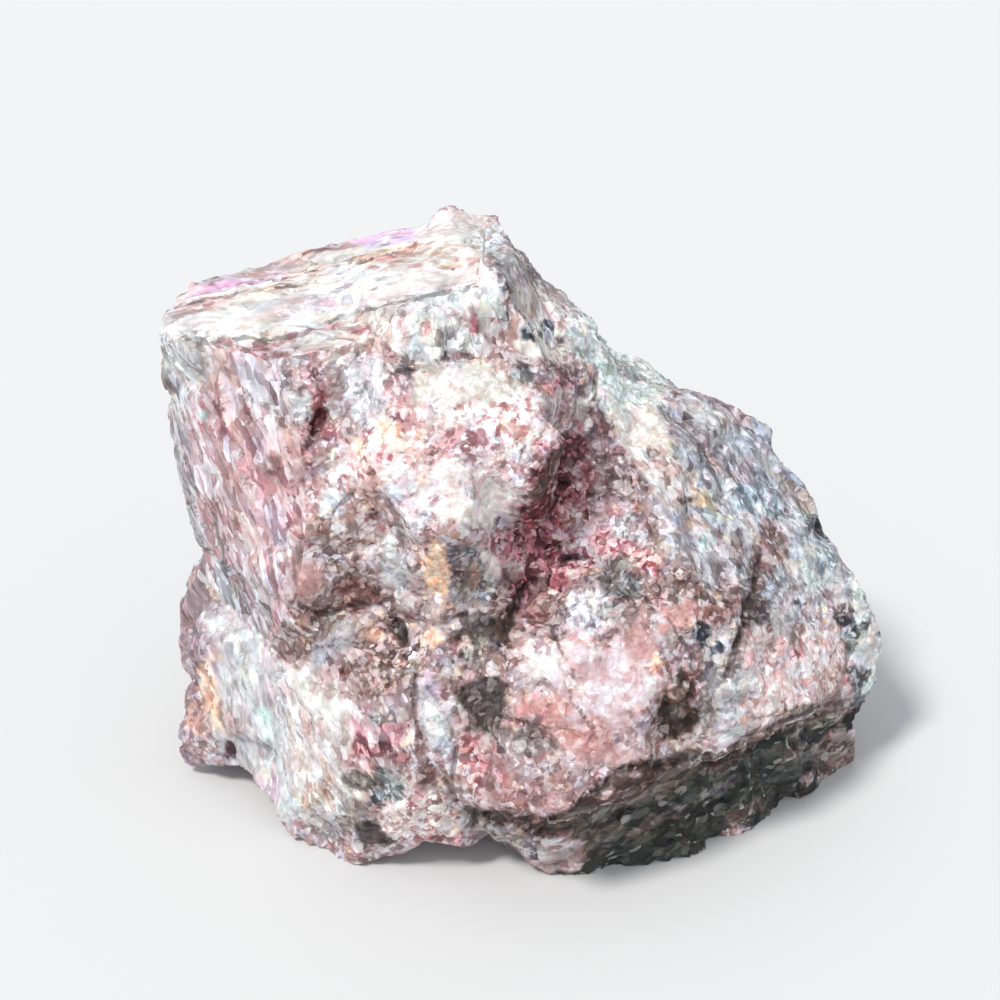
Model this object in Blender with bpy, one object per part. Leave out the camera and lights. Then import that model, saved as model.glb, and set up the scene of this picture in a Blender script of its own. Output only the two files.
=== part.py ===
"""A hand-sized lump of pink dolomite with malachite, broken from the rock and lying on its own base.

Metres, +Z up. The front, which shows best, looks along -Y. The origin is on the surface
that the stone lies on, under the middle of its bounding box.

The stone is one piece. Its form is given by named corners, where its fracture faces meet.
The skin between them is refined, roughened by two sizes of relief, chipped by small flat
breaks, and cut flat where the stone touches the surface it lies on.
"""

import math

import bmesh
import bpy
import numpy as np
from mathutils import Vector, noise

MM = 0.001

# Every corner is joined to the corners beside it as seen from this point inside the stone.
HEART = Vector((0.0, 0.0, 17.0))

# Corners, in millimetres: right, back and up.
CAP = {
    "cap_left": (-24.1, -4.5, 37.0),
    "cap_left_back": (-23.5, 0.0, 36.5),
    "cap_rim_left": (-19.0, 3.0, 37.0),
    "cap_rim_middle": (-12.0, 5.0, 38.0),
    "cap_rim_right": (-7.0, 6.0, 39.0),
    "peak": (-5.0, 6.0, 40.6),
    "peak_saddle": (-3.0, 6.0, 39.5),
    "peak_knob": (-2.0, 6.0, 39.5),
    "peak_drop": (-1.0, 7.0, 37.5),
    "cap_middle": (-13.0, -1.0, 38.0),
    "cap_right": (-5.0, 1.0, 40.0),
}
SEAM = {
    "seam_left": (-22.0, -7.5, 35.5),
    "seam_inner_left": (-15.5, -7.0, 37.0),
    "seam_inner_right": (-9.0, -6.0, 39.0),
    "seam_right": (-1.5, -4.0, 39.0),
    "seam_end": (-1.0, 1.0, 39.0),
}
UPPER_FACE = {
    "left_edge_high": (-24.0, -4.0, 29.0),
    "left_edge_low": (-23.5, -3.5, 22.5),
    "waist": (-23.0, -3.5, 17.5),
    "streaks_high": (-21.0, -7.5, 28.5),
    "streaks_low": (-20.0, -8.5, 20.0),
    "face_high": (-18.5, -8.5, 32.5),
    "face_left": (-19.0, -9.5, 27.0),
    "face_middle": (-15.5, -10.0, 30.5),
    "face_low": (-17.5, -11.0, 24.0),
    "pit": (-13.5, -8.0, 30.5),
    "pit_right": (-11.5, -9.5, 31.5),
    "face_right": (-12.0, -10.5, 27.0),
    "wall_left": (-10.0, -7.0, 35.5),
    "wall_middle": (-5.5, -6.0, 37.0),
    "wall_right": (-1.0, -5.0, 35.0),
}
SHELF = {
    "shelf_left": (-6.5, -8.0, 34.5),
    "shelf_right": (1.5, -5.5, 34.0),
    "shelf_front_left": (-8.5, -10.5, 32.0),
    "shelf_front": (-4.0, -12.0, 30.5),
    "shelf_front_right": (1.0, -9.5, 32.0),
    "shelf_lip_left": (-9.5, -12.5, 29.0),
    "shelf_lip_low": (-7.0, -14.5, 25.5),
    "shelf_lip_middle": (-3.5, -14.5, 26.0),
    "shelf_lip_right": (0.5, -12.5, 28.0),
    "shelf_lip_high": (2.5, -9.0, 30.0),
}
CHIP = {
    "chip_left": (-13.0, -11.5, 25.0),
    "chip_foot_left": (-16.0, -13.0, 20.0),
    "chip_heel": (-15.0, -13.5, 16.5),
    "chip_middle": (-11.5, -11.5, 22.5),
    "chip_right": (-9.0, -11.5, 24.0),
    "chip_foot": (-12.0, -11.5, 18.0),
    "chip_foot_right": (-8.5, -11.5, 16.5),
    "rib_high": (-6.0, -13.0, 22.0),
    "rib_low": (-5.5, -13.5, 18.0),
}
POCKET = {
    "pocket_deep": (2.5, -5.5, 25.5),
    "pocket_high": (4.0, -4.0, 29.0),
    "pocket_middle": (1.5, -6.5, 22.0),
    "pocket_left": (-1.5, -9.5, 23.0),
    "pocket_low": (0.0, -11.0, 18.5),
    "pocket_right": (6.0, -7.5, 23.0),
    "pocket_foot_right": (5.0, -10.0, 21.0),
    "groove": (-3.5, -12.0, 19.5),
    "groove_low": (-4.0, -14.0, 15.5),
}
RIDGE = {
    "ridge_top": (2.5, 3.0, 34.5),
    "corner_face": (1.0, 0.0, 36.0),
    "corner_face_low": (2.5, -3.5, 32.0),
    "ridge_high": (4.5, 0.5, 33.5),
    "ridge_upper": (5.5, -1.5, 30.5),
    "ridge_middle": (7.0, -3.5, 28.5),
    "ridge_low": (8.5, -6.0, 26.0),
    "ridge_foot": (10.0, -9.0, 23.5),
    "ridge_toe": (8.5, -11.0, 21.0),
}
SHOULDER = {
    "skyline_1": (0.5, 7.0, 35.0),
    "skyline_2": (2.0, 8.0, 33.5),
    "skyline_3": (4.5, 9.0, 30.5),
    "skyline_4": (7.0, 9.0, 27.5),
    "skyline_5": (9.0, 9.0, 26.5),
    "skyline_6": (12.0, 8.0, 24.5),
    "hump_left": (12.0, -1.0, 26.5),
    "hump": (16.0, 6.0, 24.5),
    "hump_right": (18.5, 6.0, 22.5),
    "hollow_green": (8.0, 3.0, 28.0),
    "slope_high": (14.5, 0.0, 22.5),
    "slope_edge_high": (20.3, 5.0, 19.3),
    "slope_edge_middle": (22.2, 2.0, 16.8),
    "slope_edge_low": (24.0, 0.0, 13.5),
    "slope_middle": (17.0, -2.5, 19.5),
    "slope_left": (13.0, -5.0, 21.5),
    "slope_low": (13.5, -8.0, 19.0),
    "slope_right": (19.0, -5.0, 15.5),
    "slope_foot": (12.0, -11.0, 18.5),
}
RIGHT_END = {
    "end_high": (25.5, -1.5, 11.5),
    "end_tip": (26.5, -3.0, 8.5),
    "end_low": (26.0, -4.0, 6.0),
    "end_foot": (25.0, -4.5, 4.0),
    "end_front": (22.5, -5.0, 10.5),
    "end_front_left": (18.5, -9.5, 13.5),
}
BROW = {
    "brow_top_left": (0.0, -15.0, 18.0),
    "brow_top": (5.5, -14.0, 19.5),
    "brow_top_right": (9.0, -13.5, 18.5),
    "brow_crest": (5.5, -16.5, 17.0),
    "brow_left": (-0.5, -18.0, 15.5),
    "brow_middle": (5.0, -18.5, 14.5),
    "brow_right": (8.0, -17.5, 15.0),
    "brow_front": (3.0, -20.0, 12.0),
    "brow_front_right": (8.0, -19.0, 11.5),
    "brow_hollow": (10.5, -15.0, 11.5),
    "brow_hollow_high": (11.5, -15.0, 14.5),
    "brow_outer": (15.0, -12.0, 16.0),
    "brow_outer_low": (16.5, -13.0, 12.5),
    "brow_dark": (-3.5, -16.5, 12.5),
}
LEDGE = {
    "ledge_end": (24.5, -5.5, 7.0),
    "ledge_right": (22.2, -8.8, 8.2),
    "ledge_bend": (19.3, -11.9, 9.2),
    "ledge_middle": (15.3, -14.9, 9.2),
    "ledge_inner": (12.7, -17.0, 8.8),
    "ledge_front_right": (9.0, -19.0, 9.2),
    "ledge_front": (6.0, -20.5, 8.7),
    "ledge_nose": (3.5, -21.5, 8.2),
    "ledge_corner": (1.5, -22.0, 7.7),
    "ledge_left": (-1.5, -21.0, 8.0),
    "ledge_left_end": (-4.0, -19.0, 8.5),
}
UNDERSIDE = {
    "notch_right": (22.0, -6.5, 6.3),
    "notch_bend": (18.5, -9.5, 7.3),
    "notch_middle": (14.5, -12.0, 7.3),
    "notch_inner": (9.5, -15.0, 7.3),
    "notch_front": (5.5, -16.5, 6.8),
    "notch_nose": (2.5, -18.0, 6.0),
    "under_right": (21.5, -6.0, 3.0),
    "under_middle": (16.5, -10.5, 3.5),
    "under_front_right": (10.0, -14.5, 3.5),
    "under_front": (5.0, -16.5, 3.5),
    "under_left": (-1.5, -17.5, 2.5),
    "under_gap": (-4.0, -17.5, 2.0),
}
FRONT_FOOT = {
    "panel_high": (-10.0, -16.0, 13.5),
    "panel_right": (-6.0, -15.5, 15.0),
    "panel_left": (-15.5, -14.5, 13.0),
    "panel_middle": (-12.5, -17.0, 9.5),
    "panel_low": (-9.0, -18.5, 7.0),
    "panel_foot": (-6.5, -17.5, 2.0),
    "panel_edge": (-5.5, -18.0, 10.0),
    "band_high": (-19.0, -8.0, 13.5),
    "band_middle": (-16.5, -12.5, 8.0),
    "band_low": (-15.5, -15.0, 3.5),
    "band_foot": (-18.5, -11.5, 1.5),
}
LEFT_LOBE = {
    "lobe_top": (-24.5, -3.0, 12.5),
    "lobe_side": (-24.9, -3.5, 7.5),
    "lobe_low": (-24.9, -5.0, 3.0),
    "lobe_foot": (-24.7, -6.0, 0.6),
    "lobe_heel": (-21.0, -8.0, 2.0),
    "lobe_front_high": (-23.0, -6.0, 11.5),
    "lobe_front_low": (-23.0, -7.0, 5.5),
    "lobe_crease": (-21.0, -5.5, 7.0),
    "lobe_crease_high": (-20.5, -4.5, 14.0),
}
BACK = {
    "back_cap_left": (-21.0, 6.0, 33.5),
    "back_cap_middle": (-12.0, 10.0, 34.0),
    "back_cap_right": (-3.0, 11.5, 34.0),
    "back_neck": (3.0, 13.0, 28.5),
    "back_upper_left": (-22.0, 8.0, 25.0),
    "back_upper_middle": (-13.0, 14.0, 25.0),
    "back_upper_right": (-3.0, 16.5, 24.0),
    "back_shoulder": (8.0, 15.0, 21.0),
    "back_hump": (16.0, 11.5, 19.0),
    "back_lower_left": (-23.0, 6.0, 13.0),
    "back_lower_middle": (-13.5, 15.5, 13.5),
    "back_ridge": (-3.0, 18.5, 13.0),
    "back_lower_right": (8.0, 16.5, 10.5),
    "back_right": (17.0, 12.5, 9.5),
    "back_right_end": (23.5, 6.0, 9.0),
    "side_left": (-24.5, 2.0, 24.0),
    "side_left_low": (-24.5, 1.5, 9.0),
}
BASE = {
    "toe_front": (3.5, -18.3, -1.3),
    "toe_left": (-14.0, -15.8, -1.3),
    "toe_front_right": (12.5, -16.2, -1.0),
    "toe_right": (16.5, -13.2, -1.2),
    "toe_bend": (20.6, -9.6, -1.0),
    "toe_far_right": (24.6, -5.0, -0.8),
    "toe_back_left": (-15.0, 10.0, -1.3),
    "toe_back_right": (9.0, 13.0, -1.3),
    "rim_left": (-21.0, 0.0, 1.5),
    "rim_back": (-4.0, 14.5, 1.5),
    "rim_right": (20.0, 6.0, 1.0),
    "hollow_front": (-5.0, -11.0, 1.5),
    "hollow_left": (-13.0, -5.0, 1.0),
    "hollow_middle": (0.0, 2.0, 0.8),
    "hollow_right": (10.0, -4.0, 1.2),
}
REGIONS = (
    CAP, SEAM, UPPER_FACE, SHELF, CHIP, POCKET, RIDGE, SHOULDER, RIGHT_END,
    BROW, LEDGE, UNDERSIDE, FRONT_FOOT, LEFT_LOBE, BACK, BASE,
)

# Surface, in millimetres. Each pair is how far points move, and how wide the lumps are.
LONGEST_EDGE = 0.7
WANDER = (0.4, 3.0)
RELIEF = ((0.35, 5.0), (0.26, 1.8), (0.16, 0.8))
SEED = 7

# Flakes, in millimetres: how many, how wide, and how far one cuts below the point it starts from.
CHIP_COUNT = 500
CHIP_RADIUS = (0.8, 2.6)
CHIP_DEEPEST = 0.3

# A flake leans by up to CHIP_TILT from the surface. It lies at CHIP_LEVEL of the heights round its
# rim, which is the part of it beyond CHIP_RIM of its radius.
CHIP_TILT = 0.35
CHIP_RIM = 0.75
CHIP_LEVEL = 0.55

# The finished skin: its grain before thinning, in millimetres, and the share of triangles kept.
GRAIN = 0.35
KEPT_SHARE = 0.06
CUT_TOLERANCE = 1e-5
SMOOTH_ANGLE = math.radians(28)


def joined_triples(corners):
    """Which three corners share each fracture face, from the hull of their directions from HEART."""
    hull = bmesh.new()
    for corner in corners:
        hull.verts.new((corner - HEART).normalized())
    hull.verts.index_update()
    bmesh.ops.convex_hull(hull, input=hull.verts)
    triples = []
    for face in hull.faces:
        numbers = [vert.index for vert in face.verts]
        first = numbers.index(min(numbers))
        triples.append(numbers[first:] + numbers[:first])
    hull.free()
    return sorted(triples)


def fracture_skin(corners):
    """A closed mesh with a vertex at each corner."""
    bm = bmesh.new()
    verts = [bm.verts.new(corner) for corner in corners]
    for triple in joined_triples(corners):
        bm.faces.new([verts[number] for number in triple])
    return bm


def refine(bm):
    """Splits edges until none is longer than LONGEST_EDGE."""
    while True:
        long_edges = [edge for edge in bm.edges if edge.calc_length() > LONGEST_EDGE]
        if not long_edges:
            return
        bmesh.ops.subdivide_edges(bm, edges=long_edges, cuts=1)
        bmesh.ops.triangulate(bm, faces=[face for face in bm.faces if len(face.verts) > 3])


def wander(bm):
    """Shifts every point a little sideways as well as out, so that no fracture edge is straight."""
    amount, width = WANDER
    for vert in bm.verts:
        vert.co += amount * noise.noise_vector(vert.co / width)


def roughen(bm):
    """Adds lumps and hollows along the normals, at each size in RELIEF."""
    bm.normal_update()
    heights = []
    for vert in bm.verts:
        heights.append(sum(amount * noise.noise(vert.co / width) for amount, width in RELIEF))
    for vert, height in zip(bm.verts, heights):
        vert.co += height * vert.normal


def chip(bm):
    """Breaks small flat flakes off. What stands above a flake's rim comes down to a plane there."""
    picker = np.random.default_rng(SEED)
    bm.normal_update()
    points = np.array([vert.co for vert in bm.verts])
    normals = np.array([vert.normal for vert in bm.verts])
    for _ in range(CHIP_COUNT):
        seat = picker.integers(len(points))
        normal = normals[seat] + picker.uniform(-CHIP_TILT, CHIP_TILT, 3)
        normal /= np.linalg.norm(normal)
        radius = picker.uniform(*CHIP_RADIUS)
        offsets = points - points[seat]
        reach = np.linalg.norm(offsets, axis=1)
        heights = offsets @ normal
        rim = (reach > CHIP_RIM * radius) & (reach < radius) & (heights > -radius)
        if not rim.any():
            continue
        level = max(np.quantile(heights[rim], CHIP_LEVEL), -CHIP_DEEPEST)
        above = (reach < radius) & (heights > level)
        points[above] -= np.outer(heights[above] - level, normal)
    for vert, point in zip(bm.verts, points):
        vert.co = point


def body_around(start, free):
    """Takes out of free the points that edges join to start, and returns them."""
    free.discard(start)
    front = [start]
    body = []
    while front:
        vert = front.pop()
        body.append(vert)
        for edge in vert.link_edges:
            other = edge.other_vert(vert)
            if other in free:
                free.discard(other)
                front.append(other)
    return body


def drop_crumbs(bm):
    """Keeps the largest of the separate bodies that chipping and cutting leave."""
    free = set(bm.verts)
    bodies = [body_around(vert, free) for vert in bm.verts if vert in free]
    bodies.sort(key=len)
    for crumb in bodies[:-1]:
        bmesh.ops.delete(bm, geom=crumb, context="VERTS")


def cut_base(bm):
    """Cuts off what reaches below the surface, which leaves a flat patch at each toe."""
    everything = bm.verts[:] + bm.edges[:] + bm.faces[:]
    cut = bmesh.ops.bisect_plane(
        bm,
        geom=everything,
        dist=CUT_TOLERANCE,
        plane_co=(0, 0, 0),
        plane_no=(0, 0, -1),
        clear_outer=True,
    )
    rims = [item for item in cut["geom_cut"] if isinstance(item, bmesh.types.BMEdge)]
    patches = bmesh.ops.holes_fill(bm, edges=rims, sides=0)
    bmesh.ops.triangulate(bm, faces=patches["faces"])


def centre_on_origin(bm):
    """Puts the origin under the middle of the bounding box."""
    xs = [vert.co.x for vert in bm.verts]
    ys = [vert.co.y for vert in bm.verts]
    middle = Vector((min(xs) + max(xs), min(ys) + max(ys), 0)) / 2
    bmesh.ops.translate(bm, verts=bm.verts, vec=-middle)


def stone_material():
    """Granular pinkish grey carbonate."""
    material = bpy.data.materials.new("dolomite")
    material.use_nodes = True
    shader = material.node_tree.nodes["Principled BSDF"]
    shader.inputs["Base Color"].default_value = (0.42, 0.30, 0.29, 1.0)
    shader.inputs["Roughness"].default_value = 0.62
    shader.inputs["Metallic"].default_value = 0.0
    return material


def joined_and_thinned(fine):
    """One clean skin round the solid, with the flattest triangles merged down to KEPT_SHARE of them."""
    mesh = bpy.data.meshes.new("fine_stone")
    fine.to_mesh(mesh)
    helper = bpy.data.objects.new("fine_stone", mesh)
    bpy.context.scene.collection.objects.link(helper)
    join = helper.modifiers.new("Join", "REMESH")
    join.mode = "VOXEL"
    join.voxel_size = GRAIN
    decimate = helper.modifiers.new("Thin", "DECIMATE")
    decimate.ratio = KEPT_SHARE
    bpy.context.view_layer.update()
    evaluated = helper.evaluated_get(bpy.context.evaluated_depsgraph_get())
    bm = bmesh.new()
    bm.from_mesh(evaluated.to_mesh())
    bpy.data.objects.remove(helper)
    bmesh.ops.triangulate(bm, faces=bm.faces)
    return bm


def make_stone():
    """The whole stone, from its corners to the finished mesh in metres."""
    noise.seed_set(SEED)
    corners = [Vector(place) for region in REGIONS for place in region.values()]
    fine = fracture_skin(corners)
    refine(fine)
    wander(fine)
    roughen(fine)
    chip(fine)
    bm = joined_and_thinned(fine)
    fine.free()
    cut_base(bm)
    drop_crumbs(bm)
    centre_on_origin(bm)
    bmesh.ops.scale(bm, verts=bm.verts, vec=(MM, MM, MM))
    bmesh.ops.recalc_face_normals(bm, faces=bm.faces)
    mesh = bpy.data.meshes.new("dolomite_stone")
    bm.to_mesh(mesh)
    bm.free()
    mesh.shade_smooth()
    mesh.set_sharp_from_angle(angle=SMOOTH_ANGLE)
    mesh.materials.append(stone_material())
    stone = bpy.data.objects.new("dolomite_stone", mesh)
    bpy.context.scene.collection.objects.link(stone)


def main():
    for item in list(bpy.data.objects):
        bpy.data.objects.remove(item)
    make_stone()


if __name__ == "__main__":
    main()
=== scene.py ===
"""Looks of the dolomite stone: a fine fractured skin over the CAD solid, its minerals and its light.

Lengths are in millimetres until the mesh is made. Places in the photograph are pixels of its
1000 by 1000 frame: across from the left, then down from the top.
"""

import itertools
import math

import bmesh
import bpy
import numpy as np
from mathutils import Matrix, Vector
from mathutils.bvhtree import BVHTree


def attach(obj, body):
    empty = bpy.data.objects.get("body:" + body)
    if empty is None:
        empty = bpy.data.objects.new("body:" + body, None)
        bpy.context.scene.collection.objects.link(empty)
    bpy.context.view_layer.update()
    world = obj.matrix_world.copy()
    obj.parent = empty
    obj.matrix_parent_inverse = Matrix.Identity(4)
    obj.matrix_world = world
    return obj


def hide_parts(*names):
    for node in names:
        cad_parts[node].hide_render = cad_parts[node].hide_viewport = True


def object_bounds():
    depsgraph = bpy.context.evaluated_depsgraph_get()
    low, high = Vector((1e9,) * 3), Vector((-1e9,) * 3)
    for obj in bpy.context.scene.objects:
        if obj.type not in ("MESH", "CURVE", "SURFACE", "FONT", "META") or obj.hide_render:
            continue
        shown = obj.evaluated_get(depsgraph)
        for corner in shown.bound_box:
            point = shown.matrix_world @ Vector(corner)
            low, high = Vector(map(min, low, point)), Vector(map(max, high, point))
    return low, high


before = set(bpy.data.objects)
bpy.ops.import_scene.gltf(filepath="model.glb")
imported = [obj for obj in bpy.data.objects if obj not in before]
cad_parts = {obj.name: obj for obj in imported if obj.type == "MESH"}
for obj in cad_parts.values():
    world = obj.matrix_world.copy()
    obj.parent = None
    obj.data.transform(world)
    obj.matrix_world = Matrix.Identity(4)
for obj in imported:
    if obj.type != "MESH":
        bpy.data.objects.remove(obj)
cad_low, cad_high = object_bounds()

MM = 0.001

# The photograph's camera.
PHOTO_SIZE = 1000
CAMERA_TARGET = Vector((-2.3, -3.25, 23.0))
CAMERA_DISTANCE = 165.0
CAMERA_ELEVATION = math.radians(30)
CAMERA_LENS = 85.0
CAMERA_SENSOR = 36.0
CAMERA_NEAR_M = 0.01

# The sky, the key light and the way that it travels.
SKY_COLOUR = (0.90, 0.95, 1.0, 1)
SKY_STRENGTH = 0.78
KEY_COLOUR = (1.0, 0.98, 0.95)
KEY_STRENGTH = 2.7
KEY_ANGLE = math.radians(14)
KEY_TRAVELS = Vector((0.42, 0.34, -0.86))

FLOOR_HALF_M = 0.6
FLOOR_COLOUR = (0.62, 0.62, 0.62, 1)
FLOOR_ROUGHNESS = 0.8

# The skin: its grain all round, how much a triangle faces the camera to be split finer, how far the
# points are laid back onto the solid, and how far they may pass the solid's box.
SKIN_GRAIN = 0.48
FINE_FACING = 0.08
LAID_BACK = 0.9
BOX_MARGIN = 0.4
SHARP_ANGLE = math.radians(32)

# The skin stays flat on the floor below this height, where its normal points down this much.
REST_HEIGHT = 0.05
REST_NORMAL = -0.9

# Fracture facets: width, lean and step of each size, and how ragged their edges are. Dust: width and
# height. The swell lifts the whole skin off the solid.
FACETS = ((3.4, 0.09, 0.04), (1.6, 0.12, 0.05), (0.8, 0.12, 0.03))
FACET_BEND = 0.25
DUST = (0.4, 0.02)
SWELL = 0.08

# The left flank is pushed out this far, from this pixel across, growing over this many pixels.
FLANK_PUSH, FLANK_FROM, FLANK_OVER = 0.45, 270.0, 90.0

# The fine grain of the shader: cells to the millimetre, how strongly they are coloured, how far each
# leans, and how sharply a grain turns light or dark.
FINE_CELLS = ((0.8, 0.50, 0.35), (1.7, 0.75, 0.55), (3.6, 0.55, 0.28))
FINE_SHARPNESS = 9.0
# Two bends of the cells: noise waves to the millimetre, and how far they shift.
CELL_BENDS = ((0.7, 0.6), (3.2, 0.17))
BEND_DETAIL, OPEN_DETAIL, VEIL_DETAIL = 1.0, 2.0, 4.0

# Glints, painted as highlights: colour, how much of it whitens a light grain, share of the light grains, and
# cover.
PAINTED_GLINT_COLOUR = (252, 248, 247)
PAINTED_GLINT_WHITE = 0.35
GLINT_SHARE = 0.30
PAINTED_GLINT_COVER = 0.85
SPOT_SHARPNESS = 14.0

# Gaps between grains, painted dark as shade: cells to the millimetre, width in cells, and the noise waves,
# level, sharpness and cover of the ground that is open. Holes, also painted shade, are a share of the dark
# grains.
GAP_CELLS = 0.8
GAP_WIDTH = 0.03
OPEN_WAVES, OPEN_LEVEL, OPEN_SHARPNESS, OPEN_COVER = 0.9, 0.55, 8.0, 0.7
HOLE_SHARE = 0.30
# A cut is painted dark, as shade in the crack, where its grains are broken: level and sharpness of the
# break, and of the cut.
BREAK_LEVEL, BREAK_SHARPNESS, CUT_SHARPNESS = 0.25, 3.0, 2.5
# The painted shade of gaps, holes and cuts: its near-black colour, its share over the rock's dark tone, and
# its cover of the gaps.
PAINTED_SHADE_COLOUR = (0.004, 0.002, 0.002, 1)
PAINTED_SHADE_SHARE = 0.55
GAP_PAINTED_SHADE_COVER = 0.7
SUNK_DEPTH = 0.06

# The veil over all grains: noise waves to the millimetre, how far it shades and how far it lifts.
VEIL_WAVES = 2.6
VEIL_SHADE = (0.80, 1.20)
VEIL_LIFT = (-0.03, 0.03)
NOISE_MIDDLE = (0.3, 0.7)

# Gloss: how far grains differ in roughness, how much smoother a glint is, and the smoothest.
GLEAM_RANGE = 0.4
GLINT_GLOSS = 0.2
SMOOTHEST = 0.12
BUMP_STRENGTH = 0.75

# Streaked ground: place, half width and half height in pixels, turn in degrees, the way that its
# grains run in the part's own axes, and how many times longer than wide they are.
STREAKS = (
    (225, 480, 85, 190, -6, (0.28, -0.35, -1.0), 3.0),
    (740, 490, 130, 95, 38, (0.70, -0.40, -0.70), 1.6),
    (330, 290, 190, 62, -14, (1.0, 0.25, 0.12), 2.6),
    (450, 322, 75, 44, -6, (0.10, -0.30, -1.0), 2.0),
    (700, 790, 190, 50, -24, (1.0, 0.10, 0.30), 2.2),
    (340, 730, 80, 90, 0, (0.45, -0.30, -1.0), 1.8),
    (520, 285, 44, 80, -16, (0.20, -0.50, -1.0), 2.0),
    (245, 700, 40, 130, -14, (0.20, -0.40, -1.0), 2.2),
)
# On the hidden side: the grains' way and length, and how wide the streaked grounds are.
HIDDEN_STREAK = (0.30, 0.40, -1.0)
HIDDEN_STREAK_LENGTH = 2.2
HIDDEN_STREAK_WIDTH = 9.0
# A streaked ground ends at this reach, fades over this band, and parts from the next this sharply.
STREAK_FADE = (1.05, 0.3)
STREAK_PARTING = 3
# Grains are drawn out where the ground is streaked more than this.
DRAWN_FROM = 0.4
# How fast the photograph's side begins where the skin turns towards the camera.
SHOWN_GAIN = 6

# Widths of the mineral grains that take their rock from near by, and how far in pixels they reach.
# A share of strays takes it from further off.
MINERAL_GRAINS = ((1.5, 4.5), (0.65, 2.5))
MINERAL_BEND = 0.35
STRAY_SHARE = 0.05
STRAY_REACH = 20.0
TINT_STRENGTH = 0.75
BRIGHTEST = 0.97

# The patches' places waver by this many pixels, in waves of this width, and a patch ends at this
# reach and fades over this band.
PATCH_WAVER, PATCH_WAVER_WIDTH = 2.5, 2.2
PATCH_FADE = (1.1, 0.2)
# The photograph's side turns into the hidden side this sharply, along an edge this ragged in waves of
# this width.
FRONT_GAIN, FRONT_RAGGED, FRONT_WIDTH = 8, 0.3, 1.5

# Ragged rims of the patches: lump widths for small, middling and large patches, and where the
# sizes part in pixels.
RIM_WIDTHS = (0.6, 1.6, 3.4)
RIM_SIZES = (9, 22)
RIM_DEPTH = 0.32

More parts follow.
